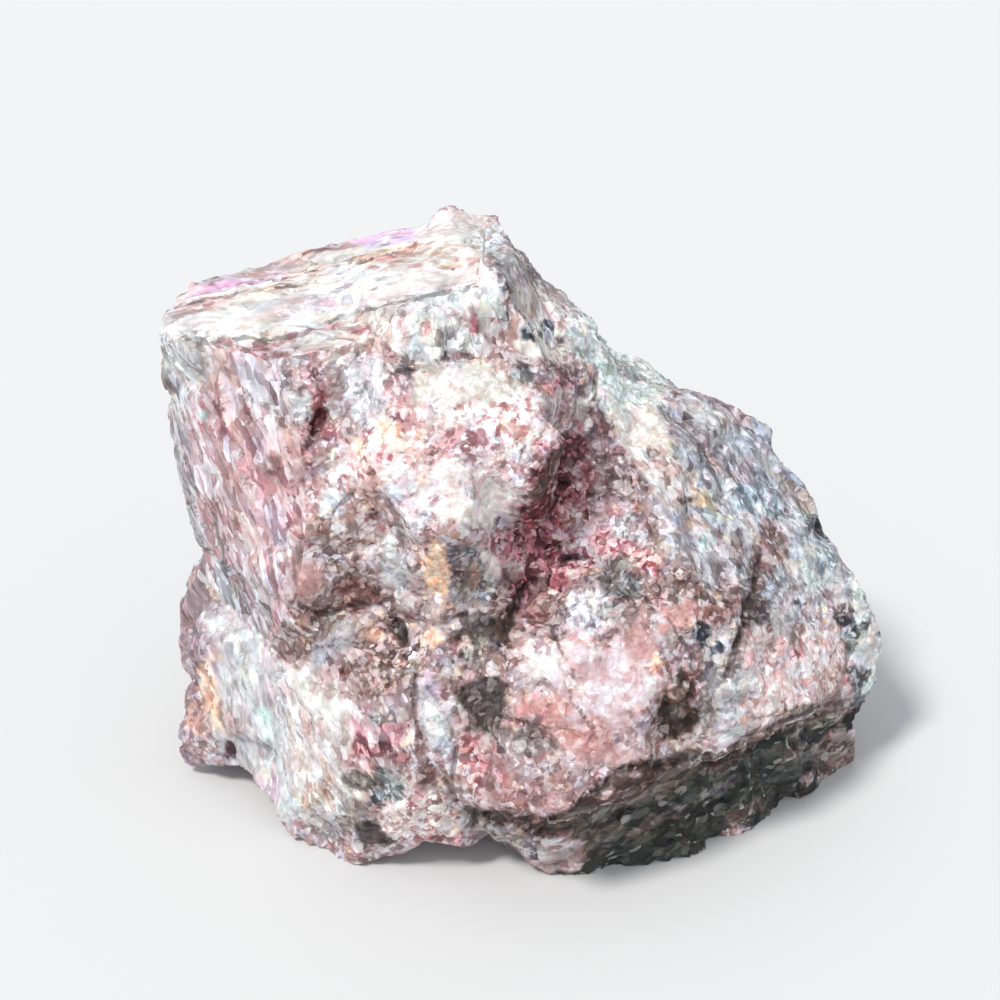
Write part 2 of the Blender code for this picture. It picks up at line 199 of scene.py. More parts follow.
# Rocks: base, light and dark sRGB colours, share of light and dark grains, roughness, and how deep
# the fine grain is.
GROUND_ROCK = "rose grey"
ROCKS = {
    "rose grey": ((173, 148, 147), (212, 205, 209), (112, 78, 80), 0.30, 0.20, 0.55, 0.8),
    "cap white": ((194, 190, 187), (213, 214, 212), (152, 138, 135), 0.35, 0.12, 0.45, 0.6),
    "bluish white": ((205, 209, 214), (236, 239, 242), (141, 136, 144), 0.35, 0.18, 0.45, 0.7),
    "cream": ((210, 203, 192), (223, 223, 221), (177, 144, 132), 0.35, 0.08, 0.50, 0.5),
    "cream stripe": ((220, 210, 201), (243, 249, 249), (164, 132, 124), 0.28, 0.24, 0.55, 0.7),
    "ochre stripe": ((199, 166, 143), (231, 213, 196), (146, 105, 93), 0.24, 0.28, 0.60, 0.7),
    "violet rim": ((210, 180, 213), (232, 217, 234), (147, 112, 134), 0.22, 0.14, 0.50, 0.6),
    "streaky grey": ((192, 193, 194), (240, 251, 253), (124, 115, 117), 0.28, 0.22, 0.50, 0.8),
    "streaky pink": ((181, 146, 150), (217, 212, 219), (124, 87, 91), 0.34, 0.18, 0.50, 0.8),
    "rose": ((196, 150, 152), (238, 223, 226), (126, 83, 92), 0.24, 0.22, 0.55, 0.8),
    "crimson": ((148, 66, 79), (244, 180, 188), (54, 16, 26), 0.26, 0.32, 0.55, 1.2),
    "crimson pink": ((192, 112, 126), (254, 214, 220), (84, 24, 38), 0.34, 0.26, 0.50, 1.2),
    "maroon": ((112, 46, 60), (226, 144, 156), (44, 14, 22), 0.18, 0.40, 0.60, 1.3),
    "mauve": ((133, 111, 113), (185, 165, 169), (77, 54, 57), 0.24, 0.28, 0.60, 1.2),
    "pink white": ((219, 189, 186), (249, 246, 244), (159, 95, 103), 0.40, 0.22, 0.45, 0.9),
    "bright white": ((220, 215, 212), (230, 227, 226), (185, 165, 162), 0.35, 0.05, 0.40, 0.5),
    "tan": ((190, 156, 149), (235, 213, 207), (134, 97, 90), 0.22, 0.22, 0.60, 0.6),
    "mauve brown": ((149, 127, 124), (207, 192, 193), (97, 70, 64), 0.22, 0.26, 0.60, 0.9),
    "red brown": ((127, 88, 85), (196, 164, 160), (64, 39, 39), 0.20, 0.34, 0.65, 1.1),
    "speckled brown": ((139, 113, 108), (213, 195, 194), (60, 39, 38), 0.28, 0.30, 0.60, 1.1),
    "dark brown": ((77, 57, 47), (127, 102, 90), (39, 24, 22), 0.18, 0.34, 0.70, 1.0),
    "orange": ((240, 194, 160), (254, 236, 212), (198, 136, 110), 0.34, 0.14, 0.50, 0.7),
    "ochre": ((214, 201, 169), (237, 238, 226), (159, 138, 114), 0.25, 0.22, 0.60, 0.8),
    "olive grey": ((124, 116, 116), (180, 176, 174), (68, 64, 64), 0.22, 0.30, 0.65, 1.0),
    "dark olive": ((81, 72, 70), (124, 111, 109), (47, 39, 40), 0.16, 0.34, 0.70, 1.0),
    "blue black": ((53, 59, 72), (160, 170, 185), (27, 28, 36), 0.18, 0.40, 0.50, 0.8),
    "green white": ((205, 215, 212), (236, 244, 245), (149, 159, 149), 0.30, 0.20, 0.50, 0.8),
    "malachite": ((189, 218, 211), (228, 241, 240), (131, 161, 153), 0.35, 0.18, 0.45, 0.8),
    "teal grey": ((152, 169, 180), (220, 238, 249), (97, 104, 110), 0.26, 0.28, 0.55, 0.9),
    "green black": ((88, 100, 101), (191, 200, 205), (37, 43, 44), 0.30, 0.42, 0.55, 1.0),
    "slope grey": ((146, 149, 162), (198, 205, 214), (97, 93, 101), 0.26, 0.26, 0.50, 0.9),
    "lilac grey": ((172, 163, 170), (224, 224, 231), (104, 91, 95), 0.30, 0.24, 0.50, 0.8),
    "grey": ((145, 140, 141), (199, 196, 196), (95, 84, 87), 0.26, 0.24, 0.55, 0.8),
    "pale grey": ((188, 189, 191), (212, 215, 216), (149, 148, 151), 0.30, 0.16, 0.45, 0.6),
    "glassy grey": ((173, 168, 172), (203, 199, 203), (127, 118, 122), 0.3, 0.1, 0.30, 0.35),
    "salmon": ((192, 137, 132), (219, 183, 177), (151, 93, 90), 0.22, 0.14, 0.42, 0.5),
    "salmon pink": ((185, 144, 141), (213, 189, 190), (148, 100, 99), 0.16, 0.08, 0.40, 0.4),
    "brow white": ((199, 170, 173), (218, 209, 213), (167, 117, 116), 0.3, 0.06, 0.38, 0.4),
    "coarse pink": ((165, 127, 128), (205, 182, 183), (105, 71, 73), 0.26, 0.24, 0.50, 0.9),
    "end pink": ((221, 185, 183), (236, 235, 234), (166, 111, 113), 0.34, 0.18, 0.45, 0.7),
    "magenta": ((208, 147, 164), (253, 246, 247), (116, 60, 81), 0.28, 0.26, 0.50, 0.9),
    "lobe pink": ((151, 130, 137), (188, 176, 186), (106, 85, 89), 0.26, 0.20, 0.55, 0.7),
    # The two rocks below are their own brown and grey, darkened further as painted shade beneath the ledge.
    "under brown": ((107, 97, 91), (156, 149, 142), (58, 50, 46), 0.20, 0.32, 0.70, 0.9),
    "under dark": ((56, 60, 55), (98, 100, 93), (27, 30, 27), 0.20, 0.36, 0.75, 0.9),
    # This near white is painted light, lifting shade by the pocket's left rim and by the chip.
    "snow": ((248, 242, 240), (253, 252, 250), (222, 204, 202), 0.35, 0.06, 0.40, 0.5),
    # This black is painted shade, in the pit and under the ledge.
    "black": ((48, 42, 42), (90, 82, 78), (24, 23, 23), 0.10, 0.40, 0.80, 1.0),
}

# Patches seen in the photograph: rock, place, half width and half height in pixels, turn in degrees
# clockwise, and strength. Later ones lie over earlier ones.
PATCHES = (
    # Cap.
    ("cap white", 330, 295, 185, 42, -13, 1.0),
    ("cap white", 470, 265, 60, 55, 0, 1.0),
    ("streaky grey", 185, 330, 22, 22, 0, 0.8),
    ("violet rim", 226, 286, 32, 5, -12, 0.9),
    ("violet rim", 275, 279, 26, 6, -10, 0.6),
    ("tan", 210, 303, 34, 6, -12, 0.7),
    ("bright white", 215, 322, 46, 13, -8, 0.9),
    ("cream stripe", 300, 282, 62, 12, -20, 0.9),
    ("ochre stripe", 286, 285, 36, 5, -20, 0.5),
    ("bluish white", 345, 290, 42, 20, -22, 0.9),
    ("bluish white", 282, 326, 44, 10, -20, 0.8),
    ("violet rim", 396, 236, 42, 8, -14, 1.0),
    ("ochre stripe", 404, 255, 52, 9, -10, 0.9),
    ("rose", 385, 262, 16, 6, -10, 0.7),
    ("cream stripe", 452, 252, 34, 14, -6, 0.8),
    ("rose", 452, 264, 40, 3, -8, 0.7),
    ("bright white", 445, 224, 34, 18, -10, 1.0),
    ("bright white", 430, 284, 60, 12, -10, 0.9),
    ("bright white", 482, 284, 26, 24, 0, 1.0),
    ("streaky grey", 500, 245, 14, 34, 10, 0.8),
    ("rose", 315, 330, 56, 3, -17, 0.9),
    ("rose", 400, 303, 46, 2, -14, 0.7),
    ("rose", 222, 344, 16, 4, -15, 0.8),
    # Upper wall and the shelf.
    ("streaky grey", 450, 322, 66, 36, -6, 0.9),
    ("cap white", 440, 316, 60, 22, -8, 0.6),
    ("cream stripe", 372, 334, 38, 18, -10, 0.9),
    ("rose", 362, 330, 14, 6, 0, 0.8),
    ("bluish white", 450, 300, 40, 14, -8, 0.7),
    ("rose", 405, 325, 5, 9, 0, 0.9),
    ("rose", 432, 328, 5, 8, 20, 0.9),
    ("crimson pink", 474, 324, 6, 10, 0, 0.8),
    ("crimson pink", 492, 342, 6, 5, 0, 0.8),
    ("crimson pink", 497, 320, 7, 4, 0, 0.8),
    ("olive grey", 450, 338, 6, 13, 0, 0.5),
    ("dark olive", 446, 356, 5, 4, 30, 0.9),
    ("olive grey", 406, 364, 8, 20, 35, 0.8),
    ("bright white", 428, 370, 12, 8, 0, 0.8),
    ("bright white", 415, 396, 26, 14, -15, 0.9),
    ("cream", 455, 388, 62, 24, -8, 1.0),
    ("cream", 500, 402, 40, 20, 10, 1.0),
    # Face to the right of the peak, down to the ridge.
    ("grey", 528, 290, 24, 56, -22, 1.0),
    ("cream stripe", 548, 318, 20, 32, -32, 0.7),
    ("tan", 520, 330, 16, 20, 0, 0.6),
    ("blue black", 504, 290, 3, 10, 0, 0.9),
    ("blue black", 508, 306, 4, 12, 0, 0.9),
    ("bluish white", 537, 334, 20, 9, 20, 0.8),
    ("blue black", 528, 332, 5, 7, -20, 1.0),
    ("blue black", 546, 328, 8, 5, 40, 1.0),
    ("blue black", 541, 338, 4, 5, 0, 0.9),
    ("blue black", 560, 341, 6, 3, 30, 0.8),
    ("cream", 540, 350, 34, 8, 14, 0.9),
    ("cream stripe", 575, 365, 12, 30, -30, 0.9),
    ("mauve", 560, 385, 28, 22, 0, 0.8),
    ("blue black", 526, 374, 12, 16, 0, 0.75),
    ("crimson", 562, 392, 22, 14, 0, 0.7),
    # Pocket and the granular ground round it.
    ("pink white", 450, 450, 88, 54, -14, 1.0),
    ("rose", 462, 440, 30, 12, -8, 0.7),
    ("rose", 494, 460, 30, 12, 20, 0.6),
    ("rose", 410, 420, 18, 12, 0, 0.7),
    ("bright white", 468, 508, 34, 19, 0, 1.0),
    ("bright white", 440, 482, 30, 16, 0, 0.7),
    ("bluish white", 398, 482, 18, 14, 0, 0.9),
    ("bluish white", 414, 518, 12, 14, 0, 0.8),
    ("mauve", 605, 446, 32, 48, -14, 0.9),
    ("mauve", 606, 496, 22, 30, 0, 0.85),
    ("rose", 616, 520, 16, 16, 0, 0.6),
    ("rose grey", 572, 414, 30, 20, 0, 0.9),
    ("green white", 584, 400, 4, 10, 25, 0.8),
    ("crimson", 542, 445, 14, 12, 0, 0.8),
    ("maroon", 566, 452, 18, 18, 0, 1.0),
    ("crimson", 586, 474, 9, 14, 0, 0.6),
    ("maroon", 548, 492, 20, 44, 24, 1.0),
    ("crimson pink", 572, 504, 14, 24, 0, 0.9),
    ("maroon", 540, 512, 14, 18, 10, 1.0),
    ("dark brown", 534, 494, 8, 18, 24, 0.8),
    ("dark brown", 552, 462, 7, 14, 30, 0.7),
    ("crimson", 540, 550, 28, 26, 0, 1.0),
    ("crimson pink", 578, 530, 22, 20, 0, 0.95),
    # Painted light: the next five patches lift the shade on the pocket's walls and rims.
    ("pink white", 575, 548, 13, 8, 0, 0.9),
    ("pink white", 578, 521, 12, 13, 0, 0.9),
    ("crimson pink", 550, 543, 10, 10, 0, 0.9),
    ("rose", 542, 459, 7, 13, 20, 0.9),
    ("rose", 571, 428, 12, 8, 0, 0.9),
    ("crimson pink", 572, 564, 24, 12, 0, 0.9),
    ("crimson pink", 500, 546, 16, 16, 0, 0.85),
    ("red brown", 516, 600, 22, 44, 14, 0.8),
    ("maroon", 524, 588, 11, 28, 18, 0.9),
    ("dark brown", 508, 622, 18, 26, 24, 0.9),
    ("rose", 524, 612, 10, 16, 10, 0.6),
    ("bright white", 538, 520, 3, 5, 10, 1.0),
    ("blue black", 576, 558, 16, 2, 4, 1.0),
    # Painted light: these light patches lift the shade on the pocket's left rim.
    ("pink white", 494, 490, 22, 20, 0, 0.9),
    ("snow", 486, 516, 15, 13, 0, 0.9),
    ("snow", 486, 486, 13, 10, 0, 0.7),
    ("snow", 502, 498, 8, 14, 30, 0.7),
    ("bright white", 440, 426, 12, 9, 0, 0.8),
    ("orange", 388, 434, 12, 13, 0, 0.9),
    # Ridge, green band and the right slope.
    ("slope grey", 735, 470, 100, 76, 36, 1.0),
    ("slope grey", 790, 560, 60, 60, 40, 0.9),
    ("lilac grey", 700, 440, 44, 14, 38, 0.8),
    ("lilac grey", 740, 500, 60, 12, 42, 0.6),
    ("green white", 600, 345, 24, 40, -42, 1.0),
    ("green white", 628, 390, 44, 30, 40, 1.0),
    ("green white", 590, 322, 8, 34, -38, 0.7),
    ("olive grey", 634, 374, 20, 6, 36, 0.6),
    ("malachite", 655, 392, 18, 8, 10, 0.4),
    ("cream", 650, 436, 18, 28, -20, 1.0),
    ("cream", 628, 440, 7, 44, -24, 0.8),
    ("cream stripe", 672, 482, 22, 32, -14, 0.9),
    ("olive grey", 652, 455, 7, 7, 0, 0.7),
    ("speckled brown", 634, 488, 16, 18, 0, 0.8),
    ("orange", 638, 508, 6, 6, 0, 0.8),
    ("lilac grey", 636, 525, 20, 20, 0, 0.9),
    ("grey", 700, 440, 30, 30, 30, 0.5),
    ("rose grey", 725, 412, 34, 14, 16, 0.8),
    ("mauve brown", 725, 472, 20, 10, 40, 0.8),
    ("mauve brown", 790, 490, 40, 9, 48, 0.5),
    ("bluish white", 742, 455, 28, 22, 30, 0.5),
    ("bluish white", 735, 500, 44, 7, 42, 0.7),
    ("ochre", 706, 500, 15, 7, 30, 0.8),
    ("ochre", 728, 518, 18, 4, 6, 0.6),
    ("teal grey", 768, 514, 44, 18, 30, 0.9),
    ("green black", 787, 521, 14, 8, 30, 0.9),
    ("pale grey", 698, 412, 22, 8, 30, 0.9),
    ("pale grey", 767, 464, 16, 11, 40, 0.9),
    ("dark brown", 686, 503, 8, 3, 0, 0.8),
    ("malachite", 708, 542, 9, 11, 0, 0.9),
    ("bluish white", 744, 534, 20, 18, 30, 0.95),
    ("bluish white", 712, 558, 18, 7, 0, 0.8),
    ("bluish white", 676, 540, 20, 12, 20, 0.7),
    ("red brown", 655, 535, 14, 12, 40, 0.7),
    ("mauve brown", 770, 545, 18, 24, 0, 0.8),
    ("red brown", 768, 532, 10, 7, 0, 0.7),
    ("bluish white", 800, 525, 14, 26, -24, 0.6),
    ("green black", 812, 520, 10, 22, -30, 0.8),
    ("teal grey", 824, 562, 14, 16, -20, 0.9),
    ("pale grey", 804, 574, 18, 22, 0, 0.9),
    ("malachite", 835, 580, 10, 18, -22, 0.6),
    ("crimson pink", 634, 556, 42, 11, 22, 0.9),
    ("olive grey", 618, 578, 20, 20, 0, 0.9),
    ("ochre stripe", 594, 575, 12, 8, 0, 0.8),
    ("speckled brown", 690, 582, 36, 20, 6, 0.85),
    ("lilac grey", 716, 568, 20, 22, 0, 0.7),
    ("olive grey", 744, 592, 12, 34, 0, 0.8),
    ("red brown", 758, 575, 10, 20, 0, 0.8),
    ("red brown", 716, 612, 20, 10, -10, 1.0),
    ("dark olive", 753, 626, 13, 30, 14, 0.9),
    ("grey", 744, 656, 9, 12, 0, 0.8),
    ("dark brown", 741, 630, 3, 44, 18, 0.9),
    # Right end.
    ("end pink", 798, 652, 50, 54, -20, 0.9),
    ("lilac grey", 804, 602, 36, 22, 0, 0.8),
    ("pale grey", 784, 622, 16, 16, 0, 0.8),
    ("rose", 828, 652, 16, 16, 0, 0.5),
    ("tan", 830, 674, 12, 14, 0, 0.8),
    ("rose", 767, 690, 7, 6, 0, 0.7),
    ("mauve brown", 795, 636, 6, 12, 10, 0.7),
    ("crimson", 794, 656, 4, 5, 0, 0.7),
    ("orange", 822, 607, 7, 4, 20, 1.0),
    ("blue black", 796, 604, 4, 5, 0, 0.9),
    ("green white", 868, 640, 16, 74, -8, 1.0),
    ("teal grey", 826, 566, 10, 14, -20, 0.9),
    ("green white", 808, 576, 9, 14, -10, 0.9),
    ("pale grey", 836, 588, 12, 24, -30, 0.8),
    ("green black", 848, 620, 7, 20, -20, 0.8),
    ("blue black", 862, 624, 6, 5, 0, 0.9),
    ("blue black", 842, 618, 6, 6, 0, 0.8),
    ("green black", 854, 642, 5, 12, 0, 0.8),
    ("orange", 868, 640, 4, 6, 0, 0.7),
    ("pale grey", 866, 658, 10, 10, 0, 0.9),
    ("blue black", 858, 677, 9, 13, 0, 0.9),
    ("blue black", 858, 700, 7, 9, 0, 0.9),
    # Brow.
    ("brow white", 604, 674, 62, 52, 0, 1.0),
    ("pink white", 535, 648, 18, 12, 0, 0.8),
    ("mauve", 520, 638, 13, 7, -10, 0.9),
    ("lilac grey", 588, 614, 22, 22, 0, 1.0),
    ("bluish white", 580, 600, 10, 12, 20, 0.6),
    ("grey", 609, 613, 13, 11, 0, 1.0),
    ("red brown", 540, 606, 16, 20, 0, 0.85),
    ("mauve", 557, 617, 11, 22, 6, 1.0),
    ("maroon", 557, 583, 13, 9, 0, 1.0),
    ("mauve", 582, 588, 14, 8, 0, 1.0),
    ("olive grey", 612, 584, 22, 13, 20, 0.9),
    ("red brown", 666, 580, 18, 10, 0, 1.0),
    ("coarse pink", 606, 640, 16, 8, -10, 0.9),
    ("salmon pink", 642, 652, 11, 38, 0, 0.9),
    ("orange", 655, 664, 5, 14, 0, 0.7),
    ("mauve brown", 669, 650, 7, 28, 6, 0.8),
    ("mauve brown", 658, 607, 11, 7, 20, 1.0),
    ("speckled brown", 694, 686, 8, 14, 10, 0.8),
    ("salmon", 684, 614, 19, 11, 0, 0.95),
    ("mauve brown", 664, 601, 10, 8, 0, 0.9),
    ("crimson", 658, 602, 8, 8, 0, 0.6),
    ("salmon pink", 596, 742, 56, 26, -8, 1.0),
    ("salmon", 592, 738, 20, 12, 0, 0.6),
    ("rose grey", 636, 736, 22, 16, 0, 0.6),
    ("coarse pink", 535, 790, 66, 34, 12, 1.0),
    ("coarse pink", 500, 740, 44, 36, 0, 0.9),
    ("grey", 520, 742, 34, 14, 10, 0.7),
    ("olive grey", 504, 733, 18, 8, 10, 0.9),
    ("salmon", 512, 790, 12, 12, 30, 0.5),
    ("rose grey", 545, 768, 30, 14, -20, 0.7),
    ("salmon", 540, 705, 27, 12, 4, 1.0),
    # Painted highlight on the brow's top.
    ("bright white", 541, 666, 17, 10, -20, 1.0),
    ("brow white", 604, 692, 36, 22, 0, 0.9),
    ("brow white", 618, 722, 13, 9, 0, 0.9),
    ("blue black", 572, 674, 4, 7, 0, 0.7),
    ("olive grey", 536, 732, 18, 8, 14, 0.7),
    ("grey", 718, 690, 20, 46, 0, 0.9),
    ("bluish white", 720, 654, 8, 14, 10, 0.7),
    ("pale grey", 744, 682, 16, 12, 0, 0.7),
    ("pale grey", 732, 724, 16, 20, 0, 0.8),
    ("dark brown", 676, 714, 17, 28, 24, 1.0),
    ("dark brown", 684, 690, 11, 14, 0, 0.9),
    ("olive grey", 676, 712, 7, 8, 0, 0.6),
    ("ochre", 672, 742, 7, 5, 0, 0.5),
    ("bright white", 648, 692, 8, 12, 10, 0.8),
    ("blue black", 702, 635, 9, 11, 0, 1.0),
    ("blue black", 711, 650, 5, 6, 0, 0.7),
    ("rose grey", 700, 738, 22, 10, -20, 0.9),
    # Left face.
    ("streaky grey", 200, 400, 34, 80, -6, 1.0),
    ("streaky pink", 232, 480, 40, 130, -8, 1.0),
    ("grey", 186, 470, 13, 84, -8, 0.9),
    ("streaky pink", 270, 560, 44, 100, -10, 1.0),
    ("rose", 250, 505, 16, 44, -14, 0.6),
    ("lilac grey", 242, 380, 22, 30, -20, 0.5),
    ("tan", 232, 400, 7, 46, -18, 0.8),
    ("red brown", 226, 420, 4, 20, -14, 0.7),
    ("red brown", 246, 400, 4, 16, -14, 0.6),
    ("malachite", 206, 414, 6, 6, 0, 0.8),
    ("malachite", 205, 534, 9, 6, 30, 0.6),
    ("rose", 250, 355, 26, 8, -6, 0.9),
    ("streaky pink", 266, 388, 38, 32, 10, 0.9),
    ("lilac grey", 272, 392, 22, 20, 10, 0.8),
    ("bluish white", 292, 406, 20, 18, 0, 0.8),
    ("rose", 300, 440, 44, 16, 0, 0.8),
    ("cream stripe", 318, 352, 30, 14, -10, 0.6),
    ("crimson pink", 316, 380, 9, 32, -6, 0.4),
    ("crimson", 320, 398, 6, 12, 6, 0.7),
    ("maroon", 315, 424, 6, 17, 20, 0.9),
    ("pink white", 331, 428, 8, 12, 20, 0.9),
    ("bluish white", 362, 386, 26, 34, 8, 1.0),
    ("streaky grey", 338, 372, 8, 20, 0, 0.6),
    ("rose", 398, 390, 16, 14, 0, 0.8),
    ("rose", 330, 455, 50, 26, 10, 0.8),
    ("pink white", 345, 470, 50, 26, -20, 0.8),
    ("rose", 275, 475, 36, 26, 10, 0.8),
    ("rose", 272, 447, 15, 11, 0, 1.0),
    ("rose", 281, 508, 12, 15, 0, 0.8),
    ("red brown", 272, 462, 9, 13, 0, 0.7),
    ("salmon", 290, 454, 10, 10, 0, 0.7),
    ("brow white", 297, 468, 10, 10, 0, 0.8),
    ("orange", 400, 448, 10, 8, 0, 0.7),
    ("orange", 358, 446, 6, 10, 0, 0.7),
    ("bluish white", 332, 504, 16, 14, -20, 0.8),
    ("rose", 310, 512, 20, 16, 0, 0.6),
    # Painted light: a near white lifting the shade beside the chip.
    ("snow", 297, 550, 9, 26, -8, 1.0),
    ("salmon", 298, 560, 7, 34, -4, 0.9),
    ("brow white", 300, 548, 6, 22, 0, 0.8),
    ("lilac grey", 256, 610, 22, 46, -12, 0.8),
    ("teal grey", 232, 590, 10, 34, -14, 0.6),
    # Chip and the granular brown below it.
    ("rose grey", 350, 560, 52, 56, -8, 1.0),
    ("mauve brown", 336, 566, 40, 40, -8, 0.8),
    ("tan", 352, 504, 24, 15, -44, 1.0),
    ("tan", 372, 486, 9, 18, 0, 1.0),
    ("bluish white", 330, 506, 14, 14, -40, 0.9),
    ("orange", 366, 506, 7, 5, 0, 0.7),
    ("red brown", 377, 516, 7, 7, 0, 0.8),
    ("red brown", 344, 540, 22, 5, 6, 0.7),
    ("pale grey", 335, 534, 7, 5, 0, 0.7),
    ("pink white", 362, 552, 20, 4, -8, 0.6),
    ("salmon pink", 312, 580, 12, 26, 20, 0.8),
    ("pale grey", 394, 562, 12, 30, -20, 0.9),
    ("red brown", 354, 590, 24, 14, 10, 0.95),
    ("red brown", 344, 609, 18, 7, 0, 1.0),
    ("red brown", 312, 612, 24, 10, 0, 0.6),
    ("mauve brown", 300, 640, 36, 22, 0, 0.8),
    ("olive grey", 330, 622, 20, 7, -26, 0.7),
    ("glassy grey", 344, 636, 12, 18, 30, 1.0),
    ("bluish white", 322, 652, 12, 10, -20, 0.8),
    ("speckled brown", 394, 640, 40, 42, 0, 0.85),
    ("glassy grey", 342, 634, 10, 16, 30, 0.8),
    ("orange", 370, 632, 14, 6, 10, 0.7),
    # Painted shade in the pit.
    ("black", 402, 634, 4, 8, 0, 0.8),
    ("speckled brown", 372, 680, 36, 26, 0, 0.9),
    ("red brown", 364, 667, 12, 7, 0, 0.8),
    ("grey", 466, 574, 22, 36, 0, 0.8),
    ("olive grey", 462, 566, 13, 26, 0, 0.8),
    ("crimson pink", 428, 546, 8, 8, 0, 0.7),
    ("orange", 435, 570, 12, 27, 0, 1.0),
    ("blue black", 452, 558, 7, 4, -10, 0.8),
    ("blue black", 471, 552, 6, 5, 30, 0.6),
    # Painted light: a near white lifting the shade here.
    ("snow", 491, 561, 7, 13, -20, 1.0),
    ("bluish white", 489, 590, 6, 5, 0, 0.8),
    ("ochre stripe", 474, 574, 4, 12, 0, 0.7),
    ("dark olive", 472, 624, 22, 14, 0, 0.95),
    ("olive grey", 480, 648, 20, 10, 0, 0.9),
    ("speckled brown", 510, 648, 14, 14, 0, 1.0),
    ("orange", 434, 640, 11, 8, 20, 0.8),
    ("pink white", 458, 646, 10, 7, 0, 0.7),
    ("grey", 470, 660, 20, 8, 0, 0.7),
    ("orange", 459, 665, 5, 7, 0, 0.7),
    # Lower left.
    ("cream", 322, 740, 44, 66, -10, 0.7),
    ("rose grey", 326, 770, 36, 36, 0, 0.4),
    ("bright white", 296, 682, 36, 16, 24, 0.8),
    ("rose grey", 340, 686, 26, 12, -10, 0.7),
    ("bright white", 328, 708, 32, 7, -4, 0.9),
    ("rose", 318, 726, 24, 6, 20, 0.5),
    ("cream stripe", 326, 800, 36, 24, 20, 0.9),
    ("ochre", 314, 802, 22, 7, -6, 0.6),
    ("grey", 322, 824, 24, 12, 20, 0.8),
    ("magenta", 378, 734, 32, 22, 0, 0.8),
    ("lilac grey", 383, 716, 15, 8, 0, 0.9),
    ("maroon", 362, 744, 9, 8, 0, 0.8),
    ("maroon", 382, 748, 12, 6, 0, 0.8),
    ("crimson", 370, 752, 14, 7, 0, 0.9),
    ("bright white", 402, 716, 6, 6, 0, 0.7),
    ("crimson", 400, 758, 12, 6, 0, 0.6),
    ("orange", 403, 744, 5, 7, 0, 0.7),
    ("rose grey", 360, 760, 16, 7, 0, 1.0),
    ("olive grey", 358, 780, 16, 10, 20, 1.0),
    ("green black", 388, 792, 18, 22, -20, 0.85),
    ("teal grey", 381, 790, 7, 6, 0, 0.6),
    ("olive grey", 360, 816, 26, 14, 10, 0.7),
    ("dark olive", 382, 832, 26, 12, 0, 0.9),
    ("mauve brown", 430, 790, 24, 13, 0, 0.9),
    ("red brown", 424, 774, 10, 9, 30, 0.8),
    ("pink white", 424, 822, 36, 24, 10, 1.0),
    ("bright white", 392, 812, 7, 12, 0, 0.9),
    ("crimson pink", 434, 832, 9, 8, 0, 0.7),
    ("crimson pink", 456, 834, 5, 8, -20, 0.6),
    ("grey", 466, 820, 8, 18, -40, 0.8),
    ("rose grey", 418, 740, 6, 60, 4, 0.8),
    ("glassy grey", 436, 716, 16, 46, -16, 1.0),
    ("violet rim", 432, 686, 9, 14, -30, 0.5),
    ("bright white", 434, 718, 8, 16, -10, 1.0),
    ("malachite", 437, 724, 4, 10, -8, 0.5),
    ("slope grey", 442, 746, 11, 12, -10, 0.6),
    ("bright white", 451, 770, 9, 4, -20, 0.8),
    ("crimson pink", 472, 746, 13, 12, 0, 0.6),
    ("rose", 474, 766, 18, 20, 0, 0.9),
    ("crimson pink", 479, 776, 6, 18, -6, 0.7),
    ("dark olive", 478, 706, 26, 28, -6, 1.0),
    ("dark olive", 490, 686, 14, 12, 0, 1.0),
    ("rose grey", 452, 700, 7, 30, -24, 0.8),
    # Left lobe and its band.
    ("lobe pink", 200, 660, 20, 110, 4, 1.0),
    ("pale grey", 246, 690, 24, 110, -18, 1.0),
    ("pale grey", 262, 770, 24, 50, -34, 1.0),
    ("bluish white", 280, 690, 10, 60, -20, 0.7),
    ("violet rim", 262, 786, 20, 14, 20, 0.4),
    ("malachite", 263, 714, 7, 10, 0, 0.7),
    ("malachite", 268, 735, 5, 8, 0, 0.6),
    ("orange", 214, 694, 8, 34, -6, 0.7),
    ("tan", 203, 718, 10, 20, 0, 0.8),
    ("maroon", 232, 754, 6, 9, 0, 0.9),
    # Ledge, its edge and the faces under it. The faces under it are their own brown and grey, darkened
    # further as painted shade beneath the overhang; black there is painted shade, and the dark brown along
    # the edge is its own colour and painted shade in the crease.
    ("under brown", 750, 776, 126, 36, -24, 1.0),
    ("under brown", 645, 815, 116, 38, -14, 1.0),
    ("under dark", 640, 845, 110, 36, -14, 1.0),
    ("under brown", 600, 834, 34, 14, -30, 0.8),
    ("dark olive", 690, 753, 16, 6, -20, 0.8),
    ("mauve brown", 690, 800, 40, 10, -30, 0.5),
    ("under dark", 760, 790, 70, 34, -20, 1.0),
    ("black", 700, 812, 30, 8, -24, 0.6),
    ("black", 788, 790, 26, 8, -30, 0.6),
    ("mauve brown", 650, 824, 26, 7, -34, 0.6),
    ("grey", 716, 790, 20, 6, -30, 0.5),
    ("mauve brown", 740, 812, 24, 6, -26, 0.4),
    ("under brown", 835, 752, 26, 30, 20, 0.9),
    ("mauve brown", 826, 724, 30, 16, -24, 0.7),
    ("end pink", 836, 756, 16, 12, 0, 0.3),
    ("black", 853, 716, 14, 9, -40, 1.0),
    ("under dark", 690, 790, 34, 9, -24, 1.0),
    ("under dark", 764, 744, 30, 8, -28, 1.0),
    ("under dark", 822, 730, 22, 7, -30, 1.0),
    ("black", 800, 738, 18, 6, -30, 0.6),
    ("grey", 500, 848, 46, 18, 16, 0.9),
    ("rose grey", 520, 862, 40, 14, 20, 0.8),
    ("rose grey", 566, 852, 18, 20, 0, 0.9),
    ("under dark", 640, 866, 60, 12, -8, 0.9),
    ("dark brown", 494, 817, 20, 7, 4, 0.9),
    ("dark brown", 548, 826, 30, 7, 0, 0.9),
